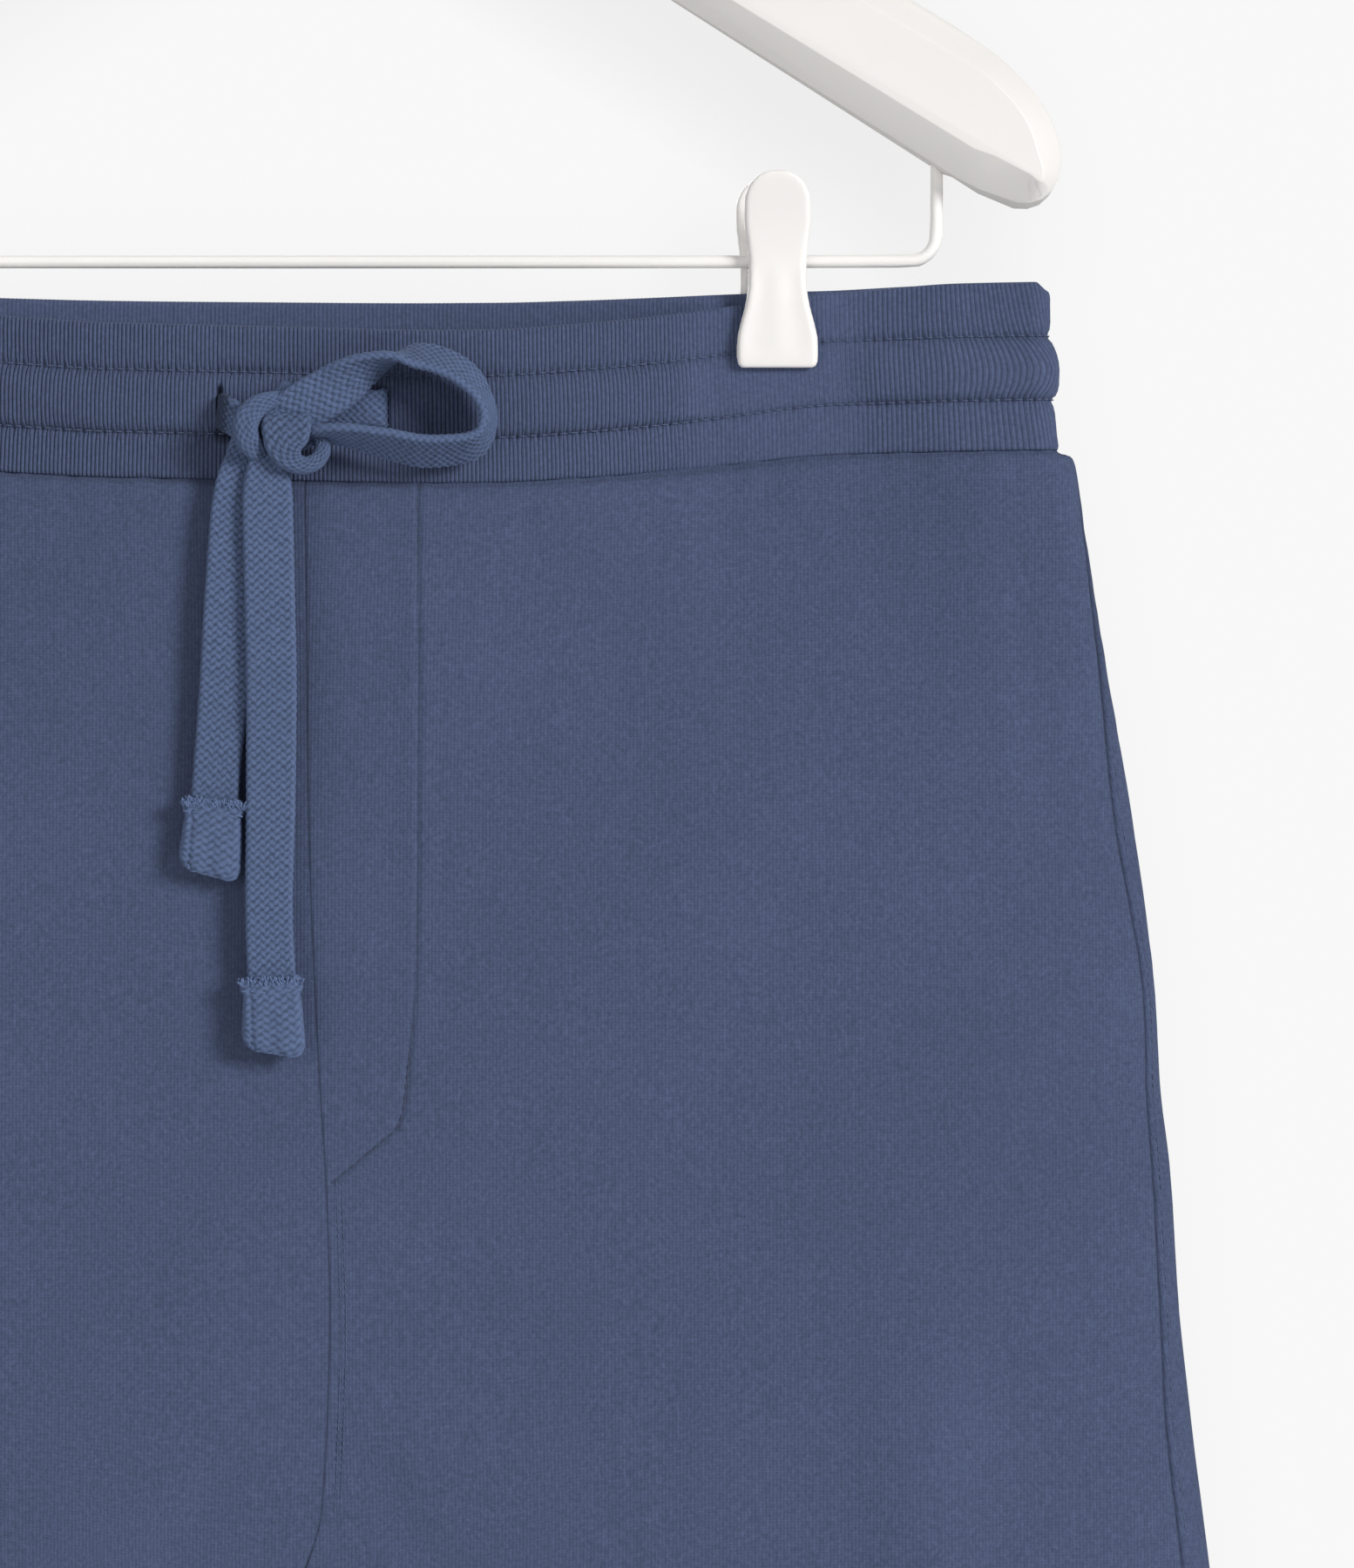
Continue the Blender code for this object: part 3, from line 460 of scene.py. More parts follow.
def knit_group():
    """The face of a knit: columns of small loops, as a height from 0 to 1."""
    if "knit_face" in bpy.data.node_groups:
        return bpy.data.node_groups["knit_face"]
    group, n, given, out = node_group(
        "knit_face",
        (("Vector", "NodeSocketVector", None), ("Wale", "NodeSocketFloat", 0.93),
         ("Course", "NodeSocketFloat", 0.8), ("Waver", "NodeSocketFloat", 0.25)),
        (("Height", "NodeSocketFloat"),))
    split = n.add("ShaderNodeSeparateXYZ")
    n.link(given["Vector"], split.inputs[0])
    waver = n.minus(n.noise(given["Vector"], 1.1, 2.0), 0.5)
    waver = n.times(waver, given["Waver"])
    across = n.over(n.plus(split.outputs[0], waver), given["Wale"])
    place_in = n.math("ABSOLUTE", n.minus(n.math("FRACT", across), 0.5))
    wale = n.math("POWER", n.minus(1.0, n.times(place_in, 2.0)), 0.6)
    down = n.over(n.plus(split.outputs[1], waver), given["Course"])
    legs = n.plus(down, n.times(place_in, 1.1))
    loop = n.math("ABSOLUTE", n.minus(n.math("FRACT", legs), 0.5))
    loop = n.minus(1.0, n.times(loop, 2.0))
    height = n.plus(n.times(wale, 0.62), n.times(loop, 0.38))
    n.link(height, out["Height"])
    return group


def cloth_vector(n):
    """The cloth's own UV map, in millimetres."""
    uv = n.add("ShaderNodeUVMap", uv_map="Cloth")
    node = n.add("ShaderNodeVectorMath", operation="SCALE")
    n.link(uv.outputs[0], node.inputs[0])
    node.inputs["Scale"].default_value = UV_UNIT
    return node.outputs[0]


def object_vector(n):
    return n.add("ShaderNodeTexCoord").outputs["Object"]


def shade(colour, factor):
    """A colour made lighter or darker, as a shader socket takes it."""
    return (*(min(c * factor, 1.0) for c in colour), 1)


def heather(n, colour, factors, amount, vector):
    """Heathered yarn; the factors are those of its main colour, light fibres and dark fibres."""
    node = n.add("ShaderNodeGroup", node_tree=heather_group())
    n.link(vector, node.inputs["Vector"])
    for name, factor in zip(("Colour", "Light Fibre", "Dark Fibre"), factors):
        node.inputs[name].default_value = shade(colour, factor)
    node.inputs["Amount"].default_value = amount
    return node.outputs[0]


def new_material(name, roughness, sheen=0.0, metallic=0.0):
    material = bpy.data.materials.new(name)
    material.use_nodes = True
    shader = material.node_tree.nodes["Principled BSDF"]
    shader.inputs["Roughness"].default_value = roughness
    shader.inputs["Metallic"].default_value = metallic
    if sheen:
        shader.inputs["Specular IOR Level"].default_value = 0.25
        shader.inputs["Sheen Weight"].default_value = sheen
        shader.inputs["Sheen Roughness"].default_value = 0.5
        shader.inputs["Sheen Tint"].default_value = (0.62, 0.7, 0.9, 1)
    return material, Nodes(material.node_tree), shader


def bump(n, shader, height, distance, strength=1.0):
    node = n.add("ShaderNodeBump")
    node.inputs["Strength"].default_value = strength
    node.inputs["Distance"].default_value = distance * MM
    n.link(height, node.inputs["Height"])
    n.link(node.outputs[0], shader.inputs["Normal"])


def line_group():
    """Distance from a place to a straight line between two points."""
    if "line_distance" in bpy.data.node_groups:
        return bpy.data.node_groups["line_distance"]
    group, n, given, out = node_group(
        "line_distance",
        (("Place", "NodeSocketVector", None), ("Start", "NodeSocketVector", None),
         ("End", "NodeSocketVector", None)),
        (("Distance", "NodeSocketFloat"),))

    def vector_math(operation, first, second):
        node = n.add("ShaderNodeVectorMath", operation=operation)
        n.link(first, node.inputs[0])
        n.link(second, node.inputs[1])
        return node.outputs["Value" if operation in ("DOT_PRODUCT", "DISTANCE") else "Vector"]

    from_start = vector_math("SUBTRACT", given["Place"], given["Start"])
    run = vector_math("SUBTRACT", given["End"], given["Start"])
    share = n.over(vector_math("DOT_PRODUCT", from_start, run),
                   vector_math("DOT_PRODUCT", run, run))
    share = n.math("MINIMUM", n.math("MAXIMUM", share, 0.0), 1.0)
    scale = n.add("ShaderNodeVectorMath", operation="SCALE")
    n.link(run, scale.inputs[0])
    n.link(share, scale.inputs["Scale"])
    n.link(vector_math("DISTANCE", from_start, scale.outputs[0]), out["Distance"])
    return group


def fly_distance(n, vector):
    """Distance in millimetres from the stitched fly on the front, and far from it on the back."""
    split = n.add("ShaderNodeSeparateXYZ")
    n.link(vector, split.inputs[0])
    flat = n.add("ShaderNodeCombineXYZ")
    n.link(n.over(split.outputs[0], MM), flat.inputs["X"])
    n.link(n.over(split.outputs[2], MM), flat.inputs["Z"])
    nearest = n.times(n.math("GREATER_THAN", split.outputs[1], 0.0), 50.0)
    distance = None
    for start, end in zip(FLY_LINE[:-1], FLY_LINE[1:]):
        node = n.add("ShaderNodeGroup", node_tree=line_group())
        n.link(flat.outputs[0], node.inputs["Place"])
        node.inputs["Start"].default_value = (start[0], 0, WAIST_TOP + start[1])
        node.inputs["End"].default_value = (end[0], 0, WAIST_TOP + end[1])
        found = node.outputs[0]
        distance = found if distance is None else n.math("MINIMUM", distance, found)
    return n.plus(distance, nearest)


def bell(n, distance, breadth):
    """1 on a line, falling off to 0 a breadth or two away from it."""
    share = n.over(distance, breadth)
    return n.math("EXPONENT", n.times(n.times(share, share), -1.0))


def fleece_face():
    """Outer face of the fleece: fine jersey wales, matt, with a slight heather, and painted shade
    in its grooves and seams.
    """
    if "fleece_face" in bpy.data.materials:
        return bpy.data.materials["fleece_face"]
    cloth = bpy.context.scene.shorts_cloth
    material, n, shader = new_material("fleece_face", 0.95, sheen=0.06)
    vector = cloth_vector(n)
    knit = n.add("ShaderNodeGroup", node_tree=knit_group())
    n.link(vector, knit.inputs["Vector"])
    knit.inputs["Wale"].default_value = cloth.wale_pitch / MM
    base = cloth.fleece_colour
    places = object_vector(n)
    colour = heather(n, base, YARN, cloth.heather, places)
    # painted shade in the grooves between the jersey's wales
    groove = n.times(n.minus(1.0, knit.outputs[0]), cloth.wale_contrast)
    colour = n.mix(groove, colour, shade(base, 0.35))
    # Painted shade: a dark line along the fly's stitched groove, the seam attribute's painted shade
    # in the seams and its painted shadow on the back's upper edge.
    fly = fly_distance(n, places)
    seam = n.attribute("seam")
    seam_painted_shade = n.math("MAXIMUM", n.times(bell(n, fly, FLY_PAINTED_SHADE), 0.35), n.times(seam, 0.8))
    n.link(n.mix(seam_painted_shade, colour, shade(base, 0.25)), shader.inputs["Base Color"])
    height = n.times(knit.outputs[0], 0.11)
    height = n.minus(height, n.times(bell(n, fly, FLY_REACH), FLY_DEPTH))
    bump(n, shader, height, 1.0)
    return material


def fleece_inside():
    """Brushed inside of the fleece: a short soft nap."""
    if "fleece_inside" in bpy.data.materials:
        return bpy.data.materials["fleece_inside"]
    base = bpy.context.scene.shorts_cloth.fleece_colour
    material, n, shader = new_material("fleece_inside", 1.0, sheen=0.2)
    vector = object_vector(n)
    n.link(heather(n, base, (1.15, 1.9, 0.7), 0.5, vector), shader.inputs["Base Color"])
    bump(n, shader, n.noise(vector, 420.0, 5.0, 0.7), 0.5, 0.8)
    return material


def rib_face():
    """Cotton rib: the ribs are in the mesh, their fine stitches here; the relief attribute darkens
    it with painted shade and shadow.
    """
    if "rib_face" in bpy.data.materials:
        return bpy.data.materials["rib_face"]
    base = bpy.context.scene.shorts_cloth.rib_colour
    material, n, shader = new_material("rib_face", 0.95, sheen=0.06)
    knit = n.add("ShaderNodeGroup", node_tree=knit_group())
    n.link(cloth_vector(n), knit.inputs["Vector"])
    knit.inputs["Wale"].default_value = 0.6
    knit.inputs["Course"].default_value = 0.7
    colour = heather(n, base, YARN, 0.45, object_vector(n))
    relief = n.attribute("relief")
    # Painted shade: the relief attribute is low in the rib grooves, stitch dips and holes and under
    # the right lead, and darkens the colour there.
    groove = n.math("MINIMUM", n.times(n.minus(1.0, relief), 0.62), 1.0)
    n.link(n.mix(groove, colour, shade(base, 0.3)), shader.inputs["Base Color"])
    bump(n, shader, knit.outputs[0], 0.1, 0.6)
    return material


def braid_face():
    """Flat cotton braid: lighter yarn, with painted shade in the gaps between the strands and where
    the braid is hidden.
    """
    if "braid_face" in bpy.data.materials:
        return bpy.data.materials["braid_face"]
    base = bpy.context.scene.shorts_drawstring.colour
    material, n, shader = new_material("braid_face", 0.92, sheen=0.08)
    vector = object_vector(n)
    colour = heather(n, base, (1.0, 1.35, 0.65), 0.35, vector)
    relief = n.attribute("relief")
    # painted shade between the strands, over the knot and at the leads, from the relief attribute
    gap_painted_shade = n.math("POWER", n.minus(1.0, n.math("MINIMUM", relief, 1.0)), 1.3)
    gap_painted_shade = n.math("MINIMUM", n.times(gap_painted_shade, 0.8), 1.0)
    n.link(n.mix(gap_painted_shade, colour, shade(base, 0.3)), shader.inputs["Base Color"])
    bump(n, shader, n.noise(vector, 1500.0, 3.0, 0.6), 0.12, 0.6)
    return material


def thread(name, colour, factors, amount=0.4, roughness=0.7, sheen=0.0):
    """Yarn or sewing thread, heathered a shade off the colour of the cloth that it holds."""
    if name in bpy.data.materials:
        return bpy.data.materials[name]
    material, n, shader = new_material(name, roughness, sheen)
    vector = object_vector(n)
    n.link(heather(n, colour, factors, amount, vector), shader.inputs["Base Color"])
    bump(n, shader, n.noise(vector, 2500.0, 2.0), 0.08, 0.5)
    return material


def moulded_plastic(name="moulded_plastic", factor=1.0):
    """Warm white polypropylene with a fine moulded grain and slightly uneven gloss; a factor over 1
    gives a lighter copy, painted light.
    """
    if name in bpy.data.materials:
        return bpy.data.materials[name]
    base = bpy.context.scene.shorts_hanger.plastic_colour
    material, n, shader = new_material(name, 0.4)
    shader.inputs["Subsurface Weight"].default_value = 0.08
    shader.inputs["Subsurface Radius"].default_value = (0.004, 0.003, 0.002)
    vector = object_vector(n)
    flow = n.noise(vector, 22.0, 2.0)
    n.link(n.mix(flow, shade(base, 0.985 * factor), shade(base, 1.01 * factor)),
           shader.inputs["Base Color"])
    n.link(n.plus(n.times(flow, 0.16), 0.34), shader.inputs["Roughness"])
    bump(n, shader, n.noise(vector, 1400.0, 2.0), 0.02, 0.35)
    return material


def coated_wire():
    """Steel wire under a smooth white coat."""
    if "wire_coat" in bpy.data.materials:
        return bpy.data.materials["wire_coat"]
    base = bpy.context.scene.shorts_hanger.wire_colour
    material, n, shader = new_material("wire_coat", 0.28)
    vector = object_vector(n)
    speck = n.noise(vector, 160.0, 3.0)
    n.link(n.mix(speck, shade(base, 0.97), shade(base, 1.02)), shader.inputs["Base Color"])
    n.link(n.plus(n.times(speck, 0.2), 0.5), shader.inputs["Roughness"])
    bump(n, shader, n.noise(vector, 500.0, 2.0), 0.03, 0.3)
    return material


def spring_strip():
    """Bright spring strip, ground along its length."""
    if "spring_strip" in bpy.data.materials:
        return bpy.data.materials["spring_strip"]
    material, n, shader = new_material("spring_strip", 0.3, metallic=1.0)
    stretch = n.add("ShaderNodeMapping")
    n.link(object_vector(n), stretch.inputs["Vector"])
    stretch.inputs["Scale"].default_value = (900.0, 40.0, 40.0)
    lines = n.noise(stretch.outputs[0], 1.0, 2.0)
    n.link(n.mix(lines, (0.42, 0.42, 0.43, 1), (0.62, 0.62, 0.63, 1)), shader.inputs["Base Color"])
    n.link(n.plus(n.times(lines, 0.25), 0.2), shader.inputs["Roughness"])
    return material


# ---------------------------------------------------------------------------- settings

class ClothSettings(bpy.types.PropertyGroup):
    """Colours and knit of the fleece and the rib."""
    fleece_colour: bpy.props.FloatVectorProperty(
        name="Fleece", description="Colour of the fleece's face", subtype="COLOR", size=3,
        default=(0.074, 0.098, 0.183), min=0, max=1)
    rib_colour: bpy.props.FloatVectorProperty(
        name="Rib", description="Colour of the ribbed waistband", subtype="COLOR", size=3,
        default=(0.076, 0.100, 0.186), min=0, max=1)
    wale_pitch: bpy.props.FloatProperty(
        name="Wale Pitch", description="Distance between the jersey's columns of loops",
        default=0.00093, min=0.0004, max=0.003, unit="LENGTH", precision=5)
    wale_contrast: bpy.props.FloatProperty(
        name="Wale Contrast", description="How much darker the jersey is between its wales",
        default=0.45, min=0, max=1, subtype="FACTOR")
    heather: bpy.props.FloatProperty(
        name="Heather", description="How strongly the yarn's lighter and darker fibres show",
        default=0.6, min=0, max=1, subtype="FACTOR")
    rib_pitch: bpy.props.FloatProperty(
        name="Rib Pitch", description="Distance between ribs at the centre front",
        default=0.0011, min=0.0008, max=0.004, unit="LENGTH", precision=5)
    rib_relief: bpy.props.FloatProperty(
        name="Rib Relief", description="Height of a rib over its groove",
        default=0.00032, min=0, max=0.001, unit="LENGTH", precision=5)
    crease_depth: bpy.props.FloatProperty(
        name="Creases", description="Depth of the small creases, as a share of their usual depth",
        default=1.5, min=0, max=3, subtype="FACTOR")


class DrawstringSettings(bpy.types.PropertyGroup):
    """The flat braid and its bow."""
    colour: bpy.props.FloatVectorProperty(
        name="Braid", description="Colour of the drawstring", subtype="COLOR", size=3,
        default=(0.105, 0.150, 0.278), min=0, max=1)
    width: bpy.props.FloatProperty(
        name="Width", description="Width of the flat braid", default=0.013,
        min=0.004, max=0.03, unit="LENGTH", precision=4)
    thickness: bpy.props.FloatProperty(
        name="Thickness", description="Thickness of the braid", default=0.0024,
        min=0.001, max=0.006, unit="LENGTH", precision=4)
    strand_height: bpy.props.FloatProperty(
        name="Strand Height", description="How far the braid's strands stand out",
        default=0.00034, min=0, max=0.001, unit="LENGTH", precision=5)


class HangerSettings(bpy.types.PropertyGroup):
    """The hanger and its clips."""
    plastic_colour: bpy.props.FloatVectorProperty(
        name="Plastic", description="Colour of the arms and clips", subtype="COLOR", size=3,
        default=(0.86, 0.836, 0.812), min=0, max=1)
    wire_colour: bpy.props.FloatVectorProperty(
        name="Wire", description="Colour of the coated wire", subtype="COLOR", size=3,
        default=(0.96, 0.94, 0.91), min=0, max=1)
    edge_round: bpy.props.FloatProperty(
        name="Edge Round", description="Radius of the arms' moulded edges", default=0.0022,
        min=0.0002, max=0.003, unit="LENGTH", precision=4)


class StageSettings(bpy.types.PropertyGroup):
    """Camera, lights and surroundings."""
    camera_distance: bpy.props.FloatProperty(
        name="Camera Distance", description="From the camera to the cloth", default=1.6,
        min=0.6, max=6, unit="LENGTH")
    key_strength: bpy.props.FloatProperty(
        name="Key Light", description="Strength of the soft light at the wearer's left",
        default=2.42, min=0, max=20)
    fill_strength: bpy.props.FloatProperty(
        name="Fill Light", description="Strength of the broad light at the wearer's right",
        default=0.68, min=0, max=20)
    low_strength: bpy.props.FloatProperty(
        name="Low Light", description="Strength of the light from below, under the hanger's arms",
        default=1.9, min=0, max=20)
    back_strength: bpy.props.FloatProperty(
        name="Back Light", description="Strength of the light behind the shorts",
        default=1.8, min=0, max=20)
    ambience: bpy.props.FloatProperty(
        name="Ambience", description="Brightness of the light from all round", default=0.22,
        min=0, max=3)
    background: bpy.props.FloatProperty(
        name="Background", description="Brightness of the plain background", default=0.94,
        min=0, max=2)


# ---------------------------------------------------------------------------- body panels

PANEL_TURNS = 700         # places across a panel from which its columns are spaced
PANEL_COLUMNS = 72        # between its two edges
WAIST_ROWS = np.array((-0.9, 0.0, 0.3, 0.7, 1.2, 1.9, 2.8, 4.0, 5.4, 7.0, 9.0))   # below the seam
HEM_ROWS = np.array((4.4, 3.0, 1.9, 1.0, 0.4, 0.0))    # above the hem
SEAT_ROWS, CROTCH_ROWS, LEG_ROWS = 84, 34, 70
SEAM_ALLOWANCE = 0.5      # each edge is tucked this far past its seam, behind its neighbour
EDGE_STEPS = np.array((-SEAM_ALLOWANCE, 0.0, 0.3, 0.6, 1.0, 1.5, 2.2, 3.0, 4.0, 5.4, 7.2))
SEAM_DIP = (0.12, 0.62)   # how far an edge rolls in to its seam: inner edge, then the others
SEAM_REACH = (0.35, 0.6)
EDGE_TUCK = 1.3           # how far the inner edge passes behind the other half
SEAM_PAINTED_SHADE = ((0.85, 0.28), (0.7, 0.4))   # amount and reach of the painted shade in the seams: at the inner edge, at the side seam
TUCK_POWER = 4.0          # the legs part late, so that the crotch lies flat
GRAIN_X = 110.0           # the wales run straight down here
PANEL_SHARP = radians(38)
UV_UNIT = 100.0           # millimetres of cloth in one unit of its UV map
HEM_DEPTH = 22.0
HEM_LIFT = 0.45
GATHER_HEIGHT = 0.45      # of the small gathers below the waistband
GATHER_FADE = 7.0
GATHER_WAVES = (5.3, 7.9, 12.7, 3.6)
UNEVEN_HEIGHT = 0.12      # of the cloth everywhere
UNEVEN_WAVES = (31.0, 47.0, 74.0)
PUCKER_HEIGHT = 0.14      # of the cloth beside a seam
PUCKER_WAVES = (9.0, 13.0, 21.0)
CALM_REACH = 5.0          # both halves are level this near to the centre seam


def panel_rows():
    """Rows of a panel: drop at the inner edge, drop at the side, and tuck towards the inseam."""
    top = BAND_BOTTOM + SEAM_GAP
    curve = RISE - RISE_CURVE
    seat = np.linspace(top + WAIST_ROWS[-1], curve, SEAT_ROWS)[1:]
    angle = np.linspace(0, pi / 2, CROTCH_ROWS)[1:]
    below = np.linspace(RISE, GARMENT_LENGTH - 6.0, LEG_ROWS)[1:]
    plain = np.concatenate((top + WAIST_ROWS, seat))
    legs = np.concatenate((below, GARMENT_LENGTH - HEM_ROWS))
    inner = np.concatenate((plain, curve + RISE_CURVE * np.sin(angle), legs))
    side = np.concatenate((plain, mix(curve, RISE, angle / (pi / 2)), legs))
    curved = (1 - np.cos(angle)) ** TUCK_POWER
    tuck = np.concatenate((np.zeros(len(plain)), curved, np.ones(len(legs))))
    return inner, side, tuck


def seam_turn(drop):
    """Turn of the side seam at a drop."""
    inner = BODY.at(drop, "leg_gap")
    share = 1 - BODY.at(drop, "seam_inset") / (BODY.at(drop, "half_width") - inner)
    return np.arccos(1 - 2 * share) / pi


def extended(line, length, reach):
    """A line run on straight at both ends, and its lengths from its old start."""
    before = line[0] + unit(line[0] - line[1]) * reach
    after = line[-1] + unit(line[-1] - line[-2]) * reach
    line = np.concatenate((before[None], line, after[None]))
    return line, np.concatenate(((-reach,), length, (length[-1] + reach,)))


def panel_grid(side, front):
    """Points, drops and cloth coordinates of a panel: inner edge to side seam, waist to hem."""
    points, drops, acrosses, spans = [], [], [], []
    for inner_drop, side_drop, tuck in zip(*panel_rows()):
        turns = np.linspace(0.0 if front else 2.0, seam_turn(side_drop), PANEL_TURNS)
        drop = mix(inner_drop, side_drop, smooth(share_of(turns) * 2))
        line = cloth_points(side, turns, drop, tuck)
        length = run_length(line)
        total = length[-1]
        middle = np.linspace(EDGE_STEPS[-1], total - EDGE_STEPS[-1], PANEL_COLUMNS)[1:-1]
        across = np.concatenate((EDGE_STEPS, middle, (total - EDGE_STEPS)[::-1]))
        drops.append(np.interp(across, length, drop))
        acrosses.append(across - np.interp(GRAIN_X, np.abs(line[:, 0]), length))
        spans.append(np.stack((across, total - across), -1))
        line, length = extended(line, length, SEAM_ALLOWANCE)
        points.append(read_line(across, length, line))
    points = np.array(points)
    middle = points[:, points.shape[1] // 2]
    down = run_length(middle)
    across = np.array(acrosses) * side * (1 if front else -1)
    down = np.broadcast_to(down[:, None], across.shape)
    return points, np.array(drops), across, down, np.array(spans)


def waver(along, seed, lengths):
    """A smooth uneven wave from a few sines, about -1 to 1."""
    rng = np.random.default_rng(seed)
    total = np.zeros_like(along)
    for length in lengths:
        total = total + np.sin(2 * pi * along / length + rng.uniform(0, 2 * pi)) / len(lengths)
    return total


def panel_relief(points, drops, across, spans, face, side):
    """How far each place stands off the plain form: creases, gathers, rolled seams and the hem."""
    cloth = bpy.context.scene.shorts_cloth
    x = points[..., 0]
    relief = ridge_sum(CREASES, face, x, drops, CREASE_END) * cloth.crease_depth
    below_seam = drops - (BAND_BOTTOM + SEAM_GAP)
    calm = smooth(np.maximum(spans[..., 0], 0) / CALM_REACH)
    gathers = waver(across, SEED + face + 3 * side, GATHER_WAVES)
    relief += GATHER_HEIGHT * calm * gathers * hump(below_seam, GATHER_FADE)
    relief += UNEVEN_HEIGHT * calm * waver(across * 0.7 + drops * 0.2, SEED + 5, UNEVEN_WAVES)
    legs_apart = smooth((drops - (RISE - RISE_CURVE)) / (RISE_CURVE * 0.5))
    for edge, seed in ((0, 11), (1, 12)):
        away = spans[..., edge]
        dip = SEAM_DIP[edge] * (1 - 0.8 * legs_apart if edge == 0 else 1.0)
        relief -= dip * hump(np.maximum(away, 0), SEAM_REACH[edge])
        tucked = EDGE_TUCK * (1 - legs_apart) if edge == 0 else SEAM_DIP[1]
        relief -= tucked * smooth(-away / SEAM_ALLOWANCE)
        pucker = waver(drops, seed + side, PUCKER_WAVES)
        relief += PUCKER_HEIGHT * calm * pucker * hump(away - 2.5, 4.0)
    relief -= SEAM_DIP[1] * hump(np.maximum(below_seam, 0), SEAM_REACH[1])
    relief -= smooth(-below_seam)
    above_hem = GARMENT_LENGTH - drops
    relief += HEM_LIFT * smooth((HEM_DEPTH + 1.0 - above_hem) / 2.0)
    relief -= 0.4 * hump(above_hem - HEM_DEPTH + 2.0, 1.0)
    relief -= 0.5 * hump(above_hem, 0.8)
    return relief


def seam_shade(drops, spans, front):
    """Painted shade in the seams, from 0 to 1, with a painted shadow on the back's upper edge
    beside the side seam.
    """
    edges = np.moveaxis(np.maximum(spans, 0), -1, 0)
    dark = sum(amount * hump(away, reach) for away, (amount, reach) in zip(edges, SEAM_PAINTED_SHADE))
    if not front:
        # painted shadow on the back beside the side seam, fading out by 135 mm below the
        # waistband's top
        dark += 0.4 * smooth(1 - edges[1] / 6.0) * smooth((135.0 - drops) / 40.0)
    return np.minimum(dark, 1.0)


def panel(name, side, front):
    """A front or a back: a face with its creases, thickened inwards to the cloth's wall."""
    points, drops, across, down, spans = panel_grid(side, front)
    face = -1 if front else 1
    axis = points.copy()
    axis[..., 1] = 0
    normals = grid_normals(points, axis)
    relief = panel_relief(points, drops, across, spans, face, side)
    points = points + normals * relief[..., None]
    rows, columns = across.shape
    quads = outward_quads(points, (rows - 1) * (columns - 1) // 2, face)
    uv = np.stack((across, down), -1).reshape(-1, 2) / UV_UNIT
    # The seam attribute holds painted shade in the seams and a painted shadow on the back's upper
    # edge.
    seam = seam_shade(drops, spans, front)
    made = new_object(name, points.reshape(-1, 3), quads, fleece_face(), uv=uv,
                      values={"seam": seam.ravel()})
    made.data.materials.append(fleece_inside())
    apply_modifier(made, "SOLIDIFY", thickness=CLOTH_WALL * MM, offset=-1, material_offset=1,
                   use_even_offset=False)
    made.data.set_sharp_from_angle(angle=PANEL_SHARP)
    return made


class SHORTS_OT_panels(bpy.types.Operator):
    """Two fronts and two backs of fleece, as thin shells on their solids' form"""
    bl_idname = "shorts.panels"
    bl_label = "Fronts and Backs"
    bl_options = {"REGISTER", "UNDO"}

    def execute(self, context):
        for name, side in (("left", 1), ("right", -1)):
            for half, front in (("front", True), ("back", False)):
                made = panel(f"fleece_{half}_{name}", side, front)
                place(made, "fleece", f"{half}_{name}")
        return {"FINISHED"}


# ---------------------------------------------------------------------------- waistband

RIB_SECTION = ((0.26, 1.0), (0.5, 0.0), (0.74, 1.0))   # places across a rib, and height
RIB_STRETCH = 1.24        # the ribs open by this at the side folds
BAND_STEPS = 2            # rows between the profile's points
INSIDE_RIB = 0.45         # strength of the ribs inside
STITCH_LINES = (11.3, 28.0)
CHANNEL_STITCH = 2.7
CHANNEL_REACH = 1.6       # how far either side of a row of stitches the rib is drawn in
HOLE_REACH = 0.8          # of the shadow at a needle hole
RIB_LEAN = Table("drop shift", (
    (-1.3, -3.0), (11.3, 0.0), (14.0, 2.0), (20.0, 4.4), (24.0, 3.4), (28.0, 1.2), (41.3, 2.4)))
RIB_LEAN_SHARE = Table("share amount", (
    (0.0, 0.0), (0.78, 0.0), (0.87, 0.25), (0.92, 0.6), (0.965, 1.0), (1.0, 1.0)))
BUTTONHOLE_HALF = (0.9, 5.0)
BUTTONHOLE_DEPTH = 1.6
END_LIFT = 1.5            # the top edge stands higher towards the side folds
HELD = (0.49, 0.77, 0.06) # shares between which a clip presses the rolls flat, and how soon
LEAD_SHADOW = (-19.4, -37.4, 3.4, 2.6)   # painted shadow under the right lead: x, height, half width and half height


def band_plan(turn):
    """Waistband's plan at its mid depth, as points from centre front to centre back."""
    share = share_of(turn)
    half_width = WAIST_HALF + WAIST_FLARE / 2
    depth = waist_depth(share, half_width, turn <= 1)
    return np.stack((share * half_width, np.where(turn <= 1, -depth, depth)), -1)


PLAN_TURNS = np.linspace(0, 2, 6001)
PLAN_LENGTH = run_length(band_plan(PLAN_TURNS))


def rib_places():
    """Distance round one half of the waistband of each point across its ribs."""
    share = share_of(PLAN_TURNS)
    pitch = bpy.context.scene.shorts_cloth.rib_pitch / MM
    local = pitch * mix(1.0, RIB_STRETCH, smooth((share - 0.55) / 0.35))
    step = np.diff(PLAN_LENGTH) * 2 / (local[1:] + local[:-1])
    phase = np.concatenate(((0.0,), np.cumsum(step)))
    ribs = int(round(phase[-1]))
    wanted = (np.arange(ribs)[:, None] + np.array(RIB_SECTION)[:, 0]).ravel()
    return np.interp(wanted * phase[-1] / ribs, phase, PLAN_LENGTH)


